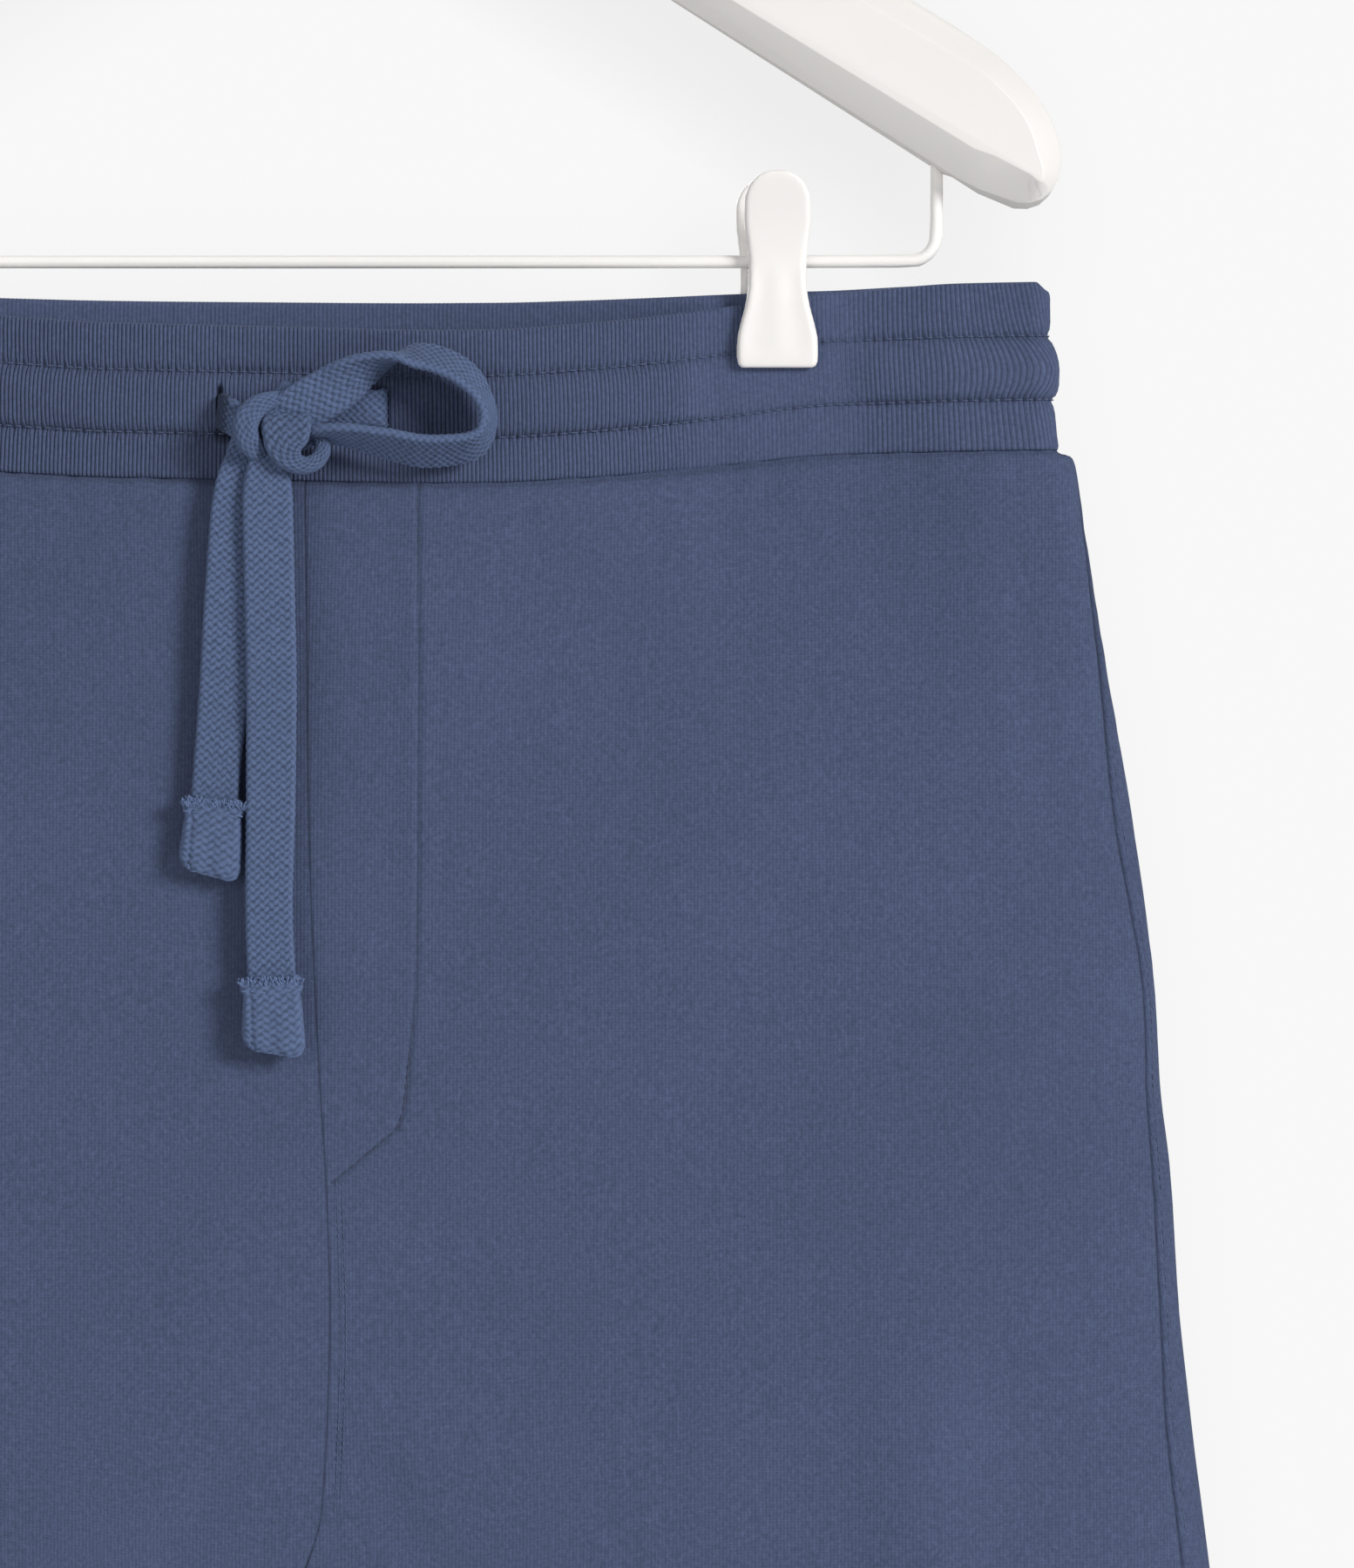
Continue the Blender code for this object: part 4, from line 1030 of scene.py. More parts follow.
def band_points(side, distance, offset, drop):
    """Places on the waistband by the distance round its half, offset from the plan, and drop."""
    distance, offset, drop = np.broadcast_arrays(distance, offset, drop)
    turn = np.interp(distance, PLAN_LENGTH, PLAN_TURNS)
    lean = RIB_LEAN.at(drop, "shift") * RIB_LEAN_SHARE.at(share_of(turn), "amount")
    lean = lean * np.where(turn > 1, smooth((1.25 - turn) / 0.25), 1.0)
    turn = np.interp(distance + lean, PLAN_LENGTH, PLAN_TURNS)
    share = share_of(turn)
    front = turn <= 1
    half_width = mix(WAIST_HALF, WAIST_HALF + WAIST_FLARE, smooth(drop / BAND_BOTTOM))

    def plan(at):
        part = share_of(at)
        depth = waist_depth(part, half_width, at <= 1)
        return side * part * half_width, np.where(at <= 1, -depth, depth)

    step = 0.004
    x, y = plan(turn)
    x_after, y_after = plan(np.minimum(turn + step, 2 - 1e-6))
    x_before, y_before = plan(np.maximum(turn - step, 1e-6))
    normal_x, normal_y = (y_after - y_before) * side, (x_before - x_after) * side
    near_centre = np.minimum(turn, 2 - turn) < step
    normal_x = np.where(near_centre, 0.0, normal_x)
    length = np.maximum(np.hypot(normal_x, normal_y), 1e-9)
    held = smooth((share - HELD[0]) / HELD[2]) * smooth((HELD[1] - share) / HELD[2])
    pressed = 1 - held * np.where(offset > 0, 1.0, 0.5)
    offset = np.where(offset > -2, offset * pressed, offset)
    corner = smooth(1 - (1 - share) * half_width / 3.6) * smooth(1 - (drop - BAND_TOP) / 8.0)
    z = WAIST_TOP - drop - sag(share, drop, front, side) - SIDE_CORNER * corner
    z = z + END_LIFT * smooth((share - 0.68) / 0.2) * smooth(1 - (drop - BAND_TOP) / 12.0)
    points = np.stack((x + normal_x / length * offset, y + normal_y / length * offset, z), -1)
    return points, held


def band_profile():
    """Offset, drop and rib strength of each row: the three rolls outside, then the plain inside."""
    outside = np.array(BAND_OUTSIDE)
    keys = np.arange(len(outside))
    fine = np.linspace(0, len(outside) - 1, (len(outside) - 1) * BAND_STEPS + 1)
    table = Table("key offset drop", np.column_stack((keys, outside)))
    offset, drop = table.at(fine, "offset"), table.at(fine, "drop")
    inside = [(*place, INSIDE_RIB) for place in BAND_INSIDE]
    return np.vstack((np.column_stack((offset, drop, np.ones(len(fine)))), inside))


def waistband():
    """The rib tube: every rib raised, scalloped along the two rows of channel stitching, with
    painted shade in its relief attribute.
    """
    cloth = bpy.context.scene.shorts_cloth
    places = rib_places()
    profile = band_profile()
    relief_line = np.tile(np.array(RIB_SECTION)[:, 1], len(places) // len(RIB_SECTION))
    opened = smooth((share_of(np.interp(places, PLAN_LENGTH, PLAN_TURNS)) - 0.4) / 0.4)
    relief_line = 1 - (1 - relief_line) * mix(1.4, 0.95, opened)
    halves = []
    for side in (1, -1):
        offset, drop, ribbed = (profile[:, i][:, None] for i in range(3))
        distance = places[None, :]
        stitch = np.abs(np.sin(pi * distance / CHANNEL_STITCH))
        rib = np.broadcast_to(relief_line[None, :], (len(profile), len(places)))
        lifted = offset + (rib - 0.6) * cloth.rib_relief / MM * ribbed
        sunk = np.zeros_like(lifted)
        moved, bundled, holes = (np.zeros_like(lifted) for _ in range(3))
        for line in STITCH_LINES:
            near = hump(drop - line, CHANNEL_REACH) * ribbed
            sunk = sunk + near * (0.4 - 0.45 * stitch)
            moved = moved + near * (0.35 * stitch - 0.15) * np.sign(drop - line + 0.01)
            bundled = bundled + near * 0.3 * np.sin(2 * pi * distance / CHANNEL_STITCH)
            pricked = hump(drop - line, HOLE_REACH) * (1 - stitch) ** 2 * ribbed
            holes = np.maximum(holes, pricked)
        wobble = 0.25 * waver(distance + 3 * drop, SEED + side, (23.0, 41.0, 67.0)) * ribbed
        points, held = band_points(side, distance + bundled, lifted - sunk + wobble, drop + moved)
        dent_x = np.abs(points[..., 0] - BUTTONHOLE_X[side > 0]) / BUTTONHOLE_HALF[0]
        dent_z = np.abs(points[..., 2] - (KNOT_Z + 5.0)) / BUTTONHOLE_HALF[1]
        hole = (dent_x < 1) & (dent_z < 1) & (points[..., 1] < 0) & (ribbed > 0)
        points[..., 1] += np.where(hole, BUTTONHOLE_DEPTH, 0.0)
        # Painted shade: darker in the rib grooves, in the dips along the channel stitching and at
        # the needle holes, and a painted shadow under the right lead.
        shade = mix(1.0, rib, ribbed * mix(1.0, 0.6, held))
        shade = shade * (1 - np.clip(sunk, 0, 1) * 0.35) * (1 - 0.7 * holes)
        shadow_x, shadow_z, half_wide, half_high = LEAD_SHADOW
        below_lead = np.hypot((points[..., 0] - shadow_x) / half_wide,
                              (points[..., 2] - WAIST_TOP - shadow_z) / half_high)
        shade = shade - 1.4 * smooth(1.4 - below_lead) * (points[..., 1] < 0) * ribbed
        # the buttonhole's pit is painted dark, as painted shade
        shade = np.where(hole, -0.4, shade)
        uv = np.stack(np.broadcast_arrays(distance, drop), -1)
        halves.append((points, shade, uv))
    (left, left_shade, left_uv), (right, right_shade, right_uv) = halves
    points = np.concatenate((left, right[:, ::-1]), 1)
    shade = np.concatenate((left_shade, right_shade[:, ::-1]), 1)
    uv = np.concatenate((left_uv, right_uv[:, ::-1]), 1)
    columns = shade.shape[1]
    quads = outward_quads(points, columns // 4 + 10 * columns, -1,
                          closed_columns=True, closed_rows=True)
    return new_object("ribbed_waistband", points.reshape(-1, 3), quads, rib_face(),
                      uv=uv.reshape(-1, 2) / UV_UNIT, values={"relief": shade.ravel()})


class SHORTS_OT_waistband(bpy.types.Operator):
    """The ribbed waistband, a tube with a stitched drawstring channel"""
    bl_idname = "shorts.waistband"
    bl_label = "Ribbed Waistband"
    bl_options = {"REGISTER", "UNDO"}

    def execute(self, context):
        made = place(waistband(), "rib", "waistband")
        return {"FINISHED"}


# ---------------------------------------------------------------------------- stitching

FLY_LINE = ((30.9, -51.0), (31.3, -106.0), (31.2, -152.0), (30.7, -180.5), (29.3, -196.5),
            (27.5, -213.2), (25.9, -218.2), (9.0, -232.0))
CENTRE_SEAM = ((6.4, -231.4), (7.5, -263.2), (7.5, -277.5), (6.8, -299.5), (6.0, -317.5))
CENTRE_ROWS = (3.8, 5.2)  # how far the two rows lie from it
FLY_DEPTH = 0.4           # of the groove along the fly's stitching
FLY_REACH = 0.9
FLY_PAINTED_SHADE = 0.38           # reach of the painted shade along its groove
THREAD = 0.42             # thickness of the sewing thread
STITCH_SIDES = 5
STITCH_RINGS = (          # share of its length, thickness, and height, for each ring of a stitch
    (0.0, 0.45, -0.8), (0.14, 0.9, -0.2), (0.5, 1.05, 0.25), (0.86, 0.9, -0.2), (1.0, 0.45, -0.8))
CHANNEL_FILL = (0.14, 0.86)    # shares of the channel's stitch length between which thread shows
CHANNEL_SUNK = -0.75
SIDE_ROW = (116.0, 541.0)      # drops between which the side seams' stitches show


def along_line(points, spacing):
    """Equally spaced places on a broken line, and how many there are."""
    points = np.array(points, float)
    length = run_length(points)
    count = max(int(length[-1] / spacing), 2)
    at = np.linspace(0, length[-1], count + 1)
    return read_line(at, length, points)


def surface_place(side, turn, drop, step, outward):
    """A place on the body's cloth, and the unit normal there that looks outward."""
    point = cloth_points(side, turn, drop, 0.0)
    beside = cloth_points(side, turn + step, drop, 0.0) - point
    below = cloth_points(side, turn, drop + 0.5, 0.0) - point
    normal = unit(np.cross(beside, below))
    return point, normal if normal @ outward > 0 else -normal


def stitches(name, starts, ends, normals, material, thickness=THREAD):
    """One joined mesh of short threads, each sunk at its two ends."""
    starts, ends, normals = (np.asarray(a, float) for a in (starts, ends, normals))
    along = ends - starts
    across = unit(np.cross(unit(along), normals))
    verts = []
    for share, fat, rise in STITCH_RINGS:
        middle = starts + along * share + normals * thickness * rise * 0.5
        for k in range(STITCH_SIDES):
            angle = 2 * pi * k / STITCH_SIDES
            radius = thickness / 2 * fat
            verts.append(middle + across * cos(angle) * radius
                         + normals * sin(angle) * radius * 0.8)
    verts = np.stack(verts, 1)
    count, each = verts.shape[:2]
    single = grid_faces(len(STITCH_RINGS), STITCH_SIDES, flip=True, closed_columns=True)
    caps = [tuple(range(STITCH_SIDES)), tuple(range(each - 1, each - 1 - STITCH_SIDES, -1))]
    faces = []
    for i in range(count):
        faces += [[v + i * each for v in quad] for quad in single]
        faces += [[v + i * each for v in cap] for cap in caps]
    return new_object(name, verts.reshape(-1, 3), faces, material)


def front_row(name, line, pitch, fill, lift, material, shift=0.0, thickness=THREAD):
    """A row of stitches on the fronts, along a line given by x and height, moved sideways."""
    places = along_line([(x + shift, z) for x, z in line], pitch)
    starts, ends, normals = [], [], []
    for first, last in zip(places[:-1], places[1:]):
        for at, kept in (((1 - fill) / 2, starts), ((1 + fill) / 2, ends)):
            place_at = front_place(*mix(first, last, at))
            point, normal = surface_place(*place_at, 0.004, (0, -1, 0))
            kept.append(point + normal * lift)
            if kept is starts:
                normals.append(normal)
    return stitches(name, starts, ends, normals, material, thickness)


def seam_row(name, side, offset, pitch, fill, material):
    """A row of stitches down the back panel, beside the side seam."""
    starts, ends, normals = [], [], []
    for drop in np.arange(*SIDE_ROW, pitch):
        for at, kept in ((drop, starts), (drop + pitch * fill, ends)):
            turn = seam_turn(at)
            reach = cloth_points(side, turn + 0.002, at, 0.0) - cloth_points(side, turn, at, 0.0)
            turn = turn + 0.002 * offset / max(np.linalg.norm(reach), 1e-6)
            point, normal = surface_place(side, turn, at, 0.002, (side, 0, 0))
            kept.append(point)
            if kept is starts:
                normals.append(normal)
    return stitches(name, starts, ends, normals, material)


def channel_row(name, line, material):
    """The row of stitches along one side of the drawstring channel, all round the waist."""
    starts, ends, normals = [], [], []
    count = int(PLAN_LENGTH[-1] / CHANNEL_STITCH)
    first, last = ((np.arange(count) + share) * CHANNEL_STITCH for share in CHANNEL_FILL)
    for side in (1, -1):
        start, end, inner = (band_points(side, at, np.full(count, offset), np.full(count, line))[0]
                             for at, offset in ((first, CHANNEL_SUNK), (last, CHANNEL_SUNK),
                                                (first, CHANNEL_SUNK - 1)))
        starts.append(start)
        ends.append(end)
        normals.append(unit(start - inner))
    return stitches(name, *(np.concatenate(part) for part in (starts, ends, normals)), material)


class SHORTS_OT_stitching(bpy.types.Operator):
    """Every visible row of sewing: channel, fly, centre seam and side seams"""
    bl_idname = "shorts.stitching"
    bl_label = "Stitching"
    bl_options = {"REGISTER", "UNDO"}

    def execute(self, context):
        colour = context.scene.shorts_cloth.fleece_colour
        # The threads take the cloth's colour, a little lighter or darker; the fly's thread, at half
        # of it, is painted shade for stitches sunk in their groove.
        light, plain, deep, seam_thread = (
            thread("thread_" + name, colour, (factor, 1.3 * factor, 0.7 * factor))
            for name, factor in (("light", 1.0), ("plain", 0.9), ("deep", 0.5), ("seam", 1.1)))
        for number, line in enumerate(STITCH_LINES, 1):
            place(channel_row(f"channel_stitches_{number}", line, light), "rib")
        place(front_row("fly_stitches", FLY_LINE, pitch=2.6, fill=0.8, lift=-0.05, material=deep),
              "fleece")
        for number, shift in enumerate(CENTRE_ROWS, 1):
            row = front_row(f"centre_stitches_{number}", CENTRE_SEAM, pitch=1.9, fill=0.8, lift=0.1,
                            material=seam_thread, shift=shift, thickness=0.32)
            place(row, "fleece")
        for name, side in (("left", 1), ("right", -1)):
            row = seam_row(f"side_stitches_{name}", side, offset=2.3, pitch=2.4, fill=0.72,
                           material=plain)
            place(row, "fleece")
        return {"FINISHED"}


# ---------------------------------------------------------------------------- drawstring

# Each cord is one flat braid. Its route is given, as in the part's source: x, y and
# height below the waistband's top edge, as seen from the photograph's camera, the direction of its
# width, and its width there.
CORD_LEFT = (
    (21.6, -16.6, -31, (0, 0, 1), 11), (21.4, -18.4, -31, (0, 0, 1), 10.4),
    (20, -20.2, -31, (0, 0, 1), 9.6), (17, -20.8, -30.8, (0, 0, 1), 9.4),
    (12.6, -20.8, -30.8, (0, 0, 1), 9.4), (8, -20.8, -31.2, (0, 0, 1), 9.2),
    (3, -21.6, -32.2, (0, 0, 1), 8), (-2.4, -23, -33.8, (-0.1, 0, 1), 8),
    (-5, -25.6, -34, (-0.5, -0.1, 0.86), 10), (-2.6, -27, -32.4, (-0.5, -0.1, 0.86), 12),
    (2.2, -27.4, -29.6, (-0.5, -0.12, 0.86), 13), (7.8, -27.6, -26.4, (-0.46, -0.24, 0.85), 13),
    (12.2, -27.6, -23.6, (-0.36, -0.55, 0.75), 13), (16.6, -27.4, -20.9, (-0.2, -0.82, 0.54), 13),
    (23.2, -27.2, -18, (-0.03, -0.98, 0.1), 13), (29, -27, -17.2, (0, -0.9, -0.4), 13),
    (34.4, -27, -17.8, (-0.06, -0.85, -0.52), 12.6),
    (39.6, -27, -19.8, (-0.24, -0.86, -0.46), 12.6),
    (43.8, -26.8, -22.8, (-0.34, -0.89, -0.3), 12.6),
    (47.2, -26.6, -27.2, (-0.26, -0.95, -0.12), 12.6), (49, -26.4, -32.4, (-0.2, -0.98, 0), 12.6),
    (48, -26.4, -37.6, (-0.2, -0.96, 0.16), 12.6),
    (45.2, -26.6, -40.4, (-0.18, -0.9, 0.36), 12.8),
    (40.6, -26.8, -41.6, (-0.06, -0.87, 0.47), 13), (31.8, -27.2, -42, (0, -0.84, 0.54), 13),
    (22.6, -27.4, -40.1, (0.07, -0.87, 0.48), 13),
    (13.6, -27.2, -38.2, (0.02, -0.93, 0.36), 12.6), (8, -26.6, -37.6, (0, -0.95, 0.28), 11.6),
    (3.6, -25.6, -37.8, (0, -0.95, 0.3), 9.6), (-1, -25, -38.4, (0.1, -0.6, 0.8), 8.2),
    (-5.4, -25.4, -40, (0.6, -0.3, 0.7), 8.6), (-7.8, -26.2, -42.8, (0.9, 0, 0.3), 9.6),
    (-8.4, -27, -46, (1, 0, 0), 10.6), (-8.6, -27.5, -52, (1, 0, 0), 12.6),
    (-8.5, -28.2, -59.8, (1, 0, 0), 13), (-8, -29, -82, (1, 0, 0), 13),
    (-7.6, -29.8, -103, (1, 0, 0), 13), (-7.8, -30.4, -134.8, (1, 0, 0), 12.6),
    (-8.2, -31.2, -161, (1, 0, 0), 12.2), (-7.6, -31.6, -179.4, (1, 0, 0), 12.4))
CORD_RIGHT = (
    (-20.7, -15.8, -31.6, (0.1, -0.4, 1), 9), (-20.5, -18.2, -31.7, (0.2, -0.5, 0.86), 9.4),
    (-19.3, -21, -32.4, (0.3, -0.62, 0.76), 10), (-17.2, -23, -33.6, (0.35, -0.55, 0.78), 9.8),
    (-14.8, -24, -35.6, (0.6, -0.2, 0.8), 8), (-14, -23.8, -38.6, (0.9, 0.1, 0.4), 8),
    (-14.6, -23.6, -41.6, (1, 0, 0.1), 8.6), (-15.2, -23.8, -44.7, (1, 0, 0.1), 9.4),
    (-16.2, -24.4, -50, (1, 0, 0.1), 11.5), (-17, -25, -59.8, (1, 0, 0), 13),
    (-18.6, -25.9, -82, (1, 0, 0.08), 13), (-19.8, -26.7, -103, (1, 0, 0.1), 13),
    (-21.6, -27.6, -122.4, (1, 0, 0.1), 12.2), (-22.4, -28, -133, (1, 0, 0.08), 12.4))
TAIL_FOLD = 19.2          # the end of each tail is doubled over this length
END_SLANT = 2.6           # one corner of it hangs lower than the other by this
FLAP = (                  # its rows: how far along the tail, width and thickness
    (-0.4, 14, 3.6), (0.6, 15.6, 4.2), (3, 16, 4.4), (4.4, 14.6, 3.8), (6, 15, 4), (10, 15.6, 4.2),
    (15, 16, 4.2), (TAIL_FOLD - 1.6, 16.2, 4), (TAIL_FOLD - 0.2, 15.8, 3),
    (TAIL_FOLD + 0.6, 14.6, 1.6))
YARN_ENDS = 170
TACKS = 7                 # stitches across the flap
EDGE_TACKS = 6            # stitches down its edge
EDGE_TACK = 5.4           # how far from the flap's middle they lie
FLAP_WRINKLE = 0.35
FLAP_CREASE = 0.55        # depth of the crease along them
BRAID_AROUND = 22         # strand columns round the whole braid
BRAID_COLUMN = 1.29
BRAID_ROW = 2.05          # length of a strand's turn along the braid
BRAID_TILT = radians(44)
STRAND_HALF = (1.08, 0.62)     # half length and half breadth of a strand
STRAND_MEAN = 0.55        # height of the braid's plain form, as a share of a strand's
STRAND_UNEVEN = 0.25
EDGE_STRAND = (0.8, 0.45) # the strands at the braid's edges: height, and how nearly they have it
RING_POINTS = 92
RING_STEP = 0.42


def curve_points(rows, at):
    """A smooth curve through equally spaced rows of numbers, read at places along them."""
    rows = np.asarray(rows, float)
    padded = np.vstack((2 * rows[0] - rows[1], rows, 2 * rows[-1] - rows[-2]))
    low = np.clip(at.astype(int), 0, len(rows) - 2)
    t = (at - low)[:, None]
    before, start, end, after = (padded[low + k] for k in range(4))
    square, cube = 2 * before - 5 * start + 4 * end - after, 3 * (start - end) + after - before
    return 0.5 * (2 * start + (end - before) * t + square * t ** 2 + cube * t ** 3)


def lay_route(route, step=RING_STEP, as_seen=True):
    """Centres, directions and widths along a route, evenly spaced, and the length so far."""
    flat = [(x, y, WAIST_TOP + z, *Vector(wide).normalized(), width, *rest)
            for x, y, z, wide, width, *rest in route]
    dense = np.linspace(0, len(route) - 1, (len(route) - 1) * 60 + 1)
    laid = curve_points(flat, dense)
    if as_seen:
        nearer = (CAMERA_DISTANCE + laid[:, 1] - SCALE_PLANE_Y) / CAMERA_DISTANCE
        laid[:, 0] = mix(PHOTO_CENTRE[0], laid[:, 0], nearer)
        laid[:, 2] = mix(WAIST_TOP + PHOTO_CENTRE[1], laid[:, 2], nearer)
    length = run_length(laid[:, :3])
    count = max(int(length[-1] / step), 2)
    at = np.linspace(0, length[-1], count + 1)
    laid = read_line(at, length, laid)
    ahead = unit(np.gradient(laid[:, :3], axis=0))
    wide = laid[:, 3:6]
    wide = unit(wide - ahead * (wide * ahead).sum(1, keepdims=True))
    return laid[:, :3], wide, np.cross(ahead, wide), ahead, laid[:, 6:], at


def strap_section(width, thick):
    """Points round a strip with half-round edges, their normals, and their shares of its girth."""
    flat, half = np.maximum(width - thick, 0.01)[:, None], thick[:, None] / 2
    bend = pi * half
    share = (np.arange(RING_POINTS) + 0.5) / RING_POINTS
    along = share * 2 * (flat + bend)
    turned = np.clip((along - flat) / half, 0, pi)
    turned = turned + np.clip((along - 2 * flat - bend) / half, 0, pi)
    straight = np.clip(along, 0, flat) - np.clip(along - flat - bend, 0, flat)
    out_x, out_y = np.sin(turned), np.cos(turned)
    x = straight - flat / 2 + half * out_x
    return x, half * out_y, out_x, out_y, np.broadcast_to(share, x.shape)


def braid_height(share, length):
    """Height from 0 to 1 of the braid's strands: leaning ovals, alternate columns mirrored."""
    column = share * BRAID_AROUND
    height = np.zeros(np.broadcast(share, length).shape)
    for side_step in (-1, 0, 1):
        number = np.floor(column) + side_step
        c = column - number - 0.5
        lean = np.where(number % 2 == 0, 1.0, -1.0)
        row = length / BRAID_ROW + 0.5 * (number % 2)
        for row_step in (-1, 0, 1):
            strand = np.floor(row) + row_step
            scattered = np.abs(np.sin(number * 12.9898 + strand * 78.233)) * 437.58
            chance = np.modf(scattered)[0] - 0.5
            u = c * BRAID_COLUMN
            v = (row - strand - 0.5 + 0.12 * chance) * BRAID_ROW
            a = u * cos(BRAID_TILT) + lean * v * sin(BRAID_TILT)
            b = v * cos(BRAID_TILT) - lean * u * sin(BRAID_TILT)
            inside = 1 - (a / STRAND_HALF[0]) ** 2 - (b / STRAND_HALF[1]) ** 2
            strand_height = np.sqrt(np.maximum(inside, 0)) * (1 + STRAND_UNEVEN * chance)
            height = np.maximum(height, strand_height)
    return height


def braid_strip(name, route, relief=1.0, shade=0.0, lead_shade=0.0, as_seen=True):
    """A flat braid along a route, its strands raised in the mesh, with painted shade between the
    strands and where it is hidden.
    """
    settings = bpy.context.scene.shorts_drawstring
    centres, wide, thin, ahead, sizes, length = lay_route(route, as_seen=as_seen)
    width = sizes[:, 0]
    thickness = sizes[:, 1] if sizes.shape[1] > 1 else np.full(len(width), settings.thickness / MM)
    x, y, nx, ny, share = strap_section(width, thickness)
    strands = braid_height(share, length[:, None])
    strands = mix(strands, EDGE_STRAND[0], EDGE_STRAND[1] * smooth(np.abs(nx)))
    lift = (strands - STRAND_MEAN) * settings.strand_height / MM * relief
    x, y = x + nx * lift, y + ny * lift
    points = centres[:, None] + wide[:, None] * x[..., None] + thin[:, None] * y[..., None]
    rows, columns = x.shape
    quads = grid_faces(rows, columns, flip=False, closed_columns=True)
    for ring, way in ((0, 1), (rows - 1, -1)):
        first = ring * columns
        half = columns // 2
        for k in range(half - 1):
            quad = (first + k, first + k + 1, first + columns - 2 - k, first + columns - 1 - k)
            quads.append(quad[::way])
    mesh_points = points.reshape(-1, 3)
    quad = mesh_points[quads[columns // 4]]
    middle = quad.mean(0) - centres[0]
    if np.dot(np.cross(quad[1] - quad[0], quad[2] - quad[1]), middle) < 0:
        quads = [q[::-1] for q in quads]
    # Painted shade: darker between the strands, by shade over the knot, and by lead_shade on a
    # lead's first millimetres.
    light = 1 - (1 - strands) * min(relief, 1.0) - shade
    light = light - lead_shade * smooth((LEAD_LENGTH - length[:, None]) / LEAD_FADE)
    made = new_object(name, mesh_points, quads, braid_face(), values={"relief": light.ravel()})
    return made, centres * MM, float(length[-1]) * MM


KNOT_STRAPS = {           # x, y, height, direction of width, width, thickness
    "wrap": (
        (-3.8, -24.6, -28.2, (0.1, 0.3, -1), 3, 3), (-6.4, -26.6, -28.4, (0.15, 0.2, -1), 4, 3.4),
        (-9.4, -28.4, -29.4, (0.35, 0.1, -0.93), 5.2, 3.8),
        (-12, -29.4, -31, (0.62, 0, -0.78), 6.2, 4.2),
        (-13.9, -29.8, -33.4, (0.9, 0, -0.4), 6.9, 4.4),
        (-14.4, -29.8, -36.2, (1, 0, 0.04), 6.6, 4.4),
        (-13.6, -29.4, -39.2, (0.92, 0, 0.38), 6.3, 4),
        (-11.8, -28.2, -41.4, (0.7, 0.1, 0.7), 6, 3.4),
        (-9.4, -26, -42.8, (0.5, 0.2, 0.85), 5.2, 3)),
    "front": (
        (-3.4, -28.4, -33.2, (1, 0, 0.05), 12.4, 2.6), (-3.6, -29.9, -35, (1, 0, 0), 12.8, 2.8),
        (-3.8, -30.6, -37.8, (1, 0, 0.1), 12.2, 2.9),
        (-3.8, -30.7, -40.8, (0.97, 0, 0.25), 10.6, 3.1),
        (-3, -30.5, -43.4, (0.8, 0, 0.6), 7.8, 3.4),
        (-1.2, -30.2, -45.2, (0.45, 0, 0.9), 5.4, 3.6),
        (1.2, -29.8, -45.8, (0.02, 0, 1), 4.5, 3.6), (3.6, -29.2, -45, (-0.45, 0, 0.9), 4.3, 3.5),
        (5.3, -28.4, -43.2, (-0.85, 0, 0.5), 4.1, 3.3), (5.8, -27.2, -41, (-1, 0, 0), 3.9, 3.1),
        (4.9, -25.8, -39, (-0.85, 0, -0.5), 3.8, 3)),
    "core": (
        (-15.4, -24, -35.4, (0, 0, 1), 9, 5), (-11.6, -24.4, -36, (0, 0, 1), 12.6, 7),
        (-6, -24.6, -37, (0, 0, 1), 13.6, 7.6), (-1, -24.6, -37.6, (0, 0, 1), 10, 6.4),
        (1.6, -24.4, -38.2, (0, 0, 1), 7, 5)),
    "stub": (
        (-5.8, -22.6, -29.8, (1, 0, -0.2), 5.2, 2.6), (-4.6, -23, -27.2, (1, 0, -0.2), 4.8, 2.6),
        (-3.6, -23.2, -25, (1, 0, -0.2), 3.6, 2.2), (-3.2, -23.2, -23.8, (1, 0, -0.2), 2, 1.4)),
}
SMOOTH_STRAPS = {"wrap": 0.8, "front": 0.9, "core": 0.9, "stub": 0.6}   # relief of their strands
# painted shade over the whole knot
KNOT_SHADE = 0.22
LEAD_SHADE = {"left": 0.0, "right": 1.0}   # painted shade on a lead's first millimetres, at its buttonhole
LEAD_LENGTH = 9.0
LEAD_FADE = 4.0


def folded_end(name, route):
    """The doubled end of a tail: a flap folded up over the braid, tacked across and frayed."""
    centres, wide, thin, ahead, sizes, _ = lay_route(route, 2.0)
    start, side, out, on = centres[-1], wide[-1], thin[-1], ahead[-1]
    if out[1] > 0:
        out = -out
    flap = [(*(start + on * down + out * 0.4 - (0, 0, WAIST_TOP)), tuple(side), width, thick)
            for down, width, thick in FLAP]
    made, _, _ = braid_strip(name, flap, relief=0.9, as_seen=False)
    places = get_points(made) / MM
    along, across, proud = ((places - start) @ axis for axis in (on, side, out))
    low = smooth((along - 3) / (TAIL_FOLD - 3))
    corner = np.clip((np.abs(across) - 4.4) / 3.6, 0, 1) ** 2
    drawn_up = low ** 2 * (END_SLANT * across / 13 - 2.0 * corner)
    wrinkle = FLAP_WRINKLE * np.sin(across * 0.9 + along * 0.5) * np.sin(along * 0.62 + 1.0) * low
    crease = FLAP_CREASE * hump(across + EDGE_TACK, 0.55) * (proud > 0)
    places = places + on * drawn_up[:, None] + out * (wrinkle - crease)[:, None]
    set_points(made, places * MM)
    return made, start, side, out, on


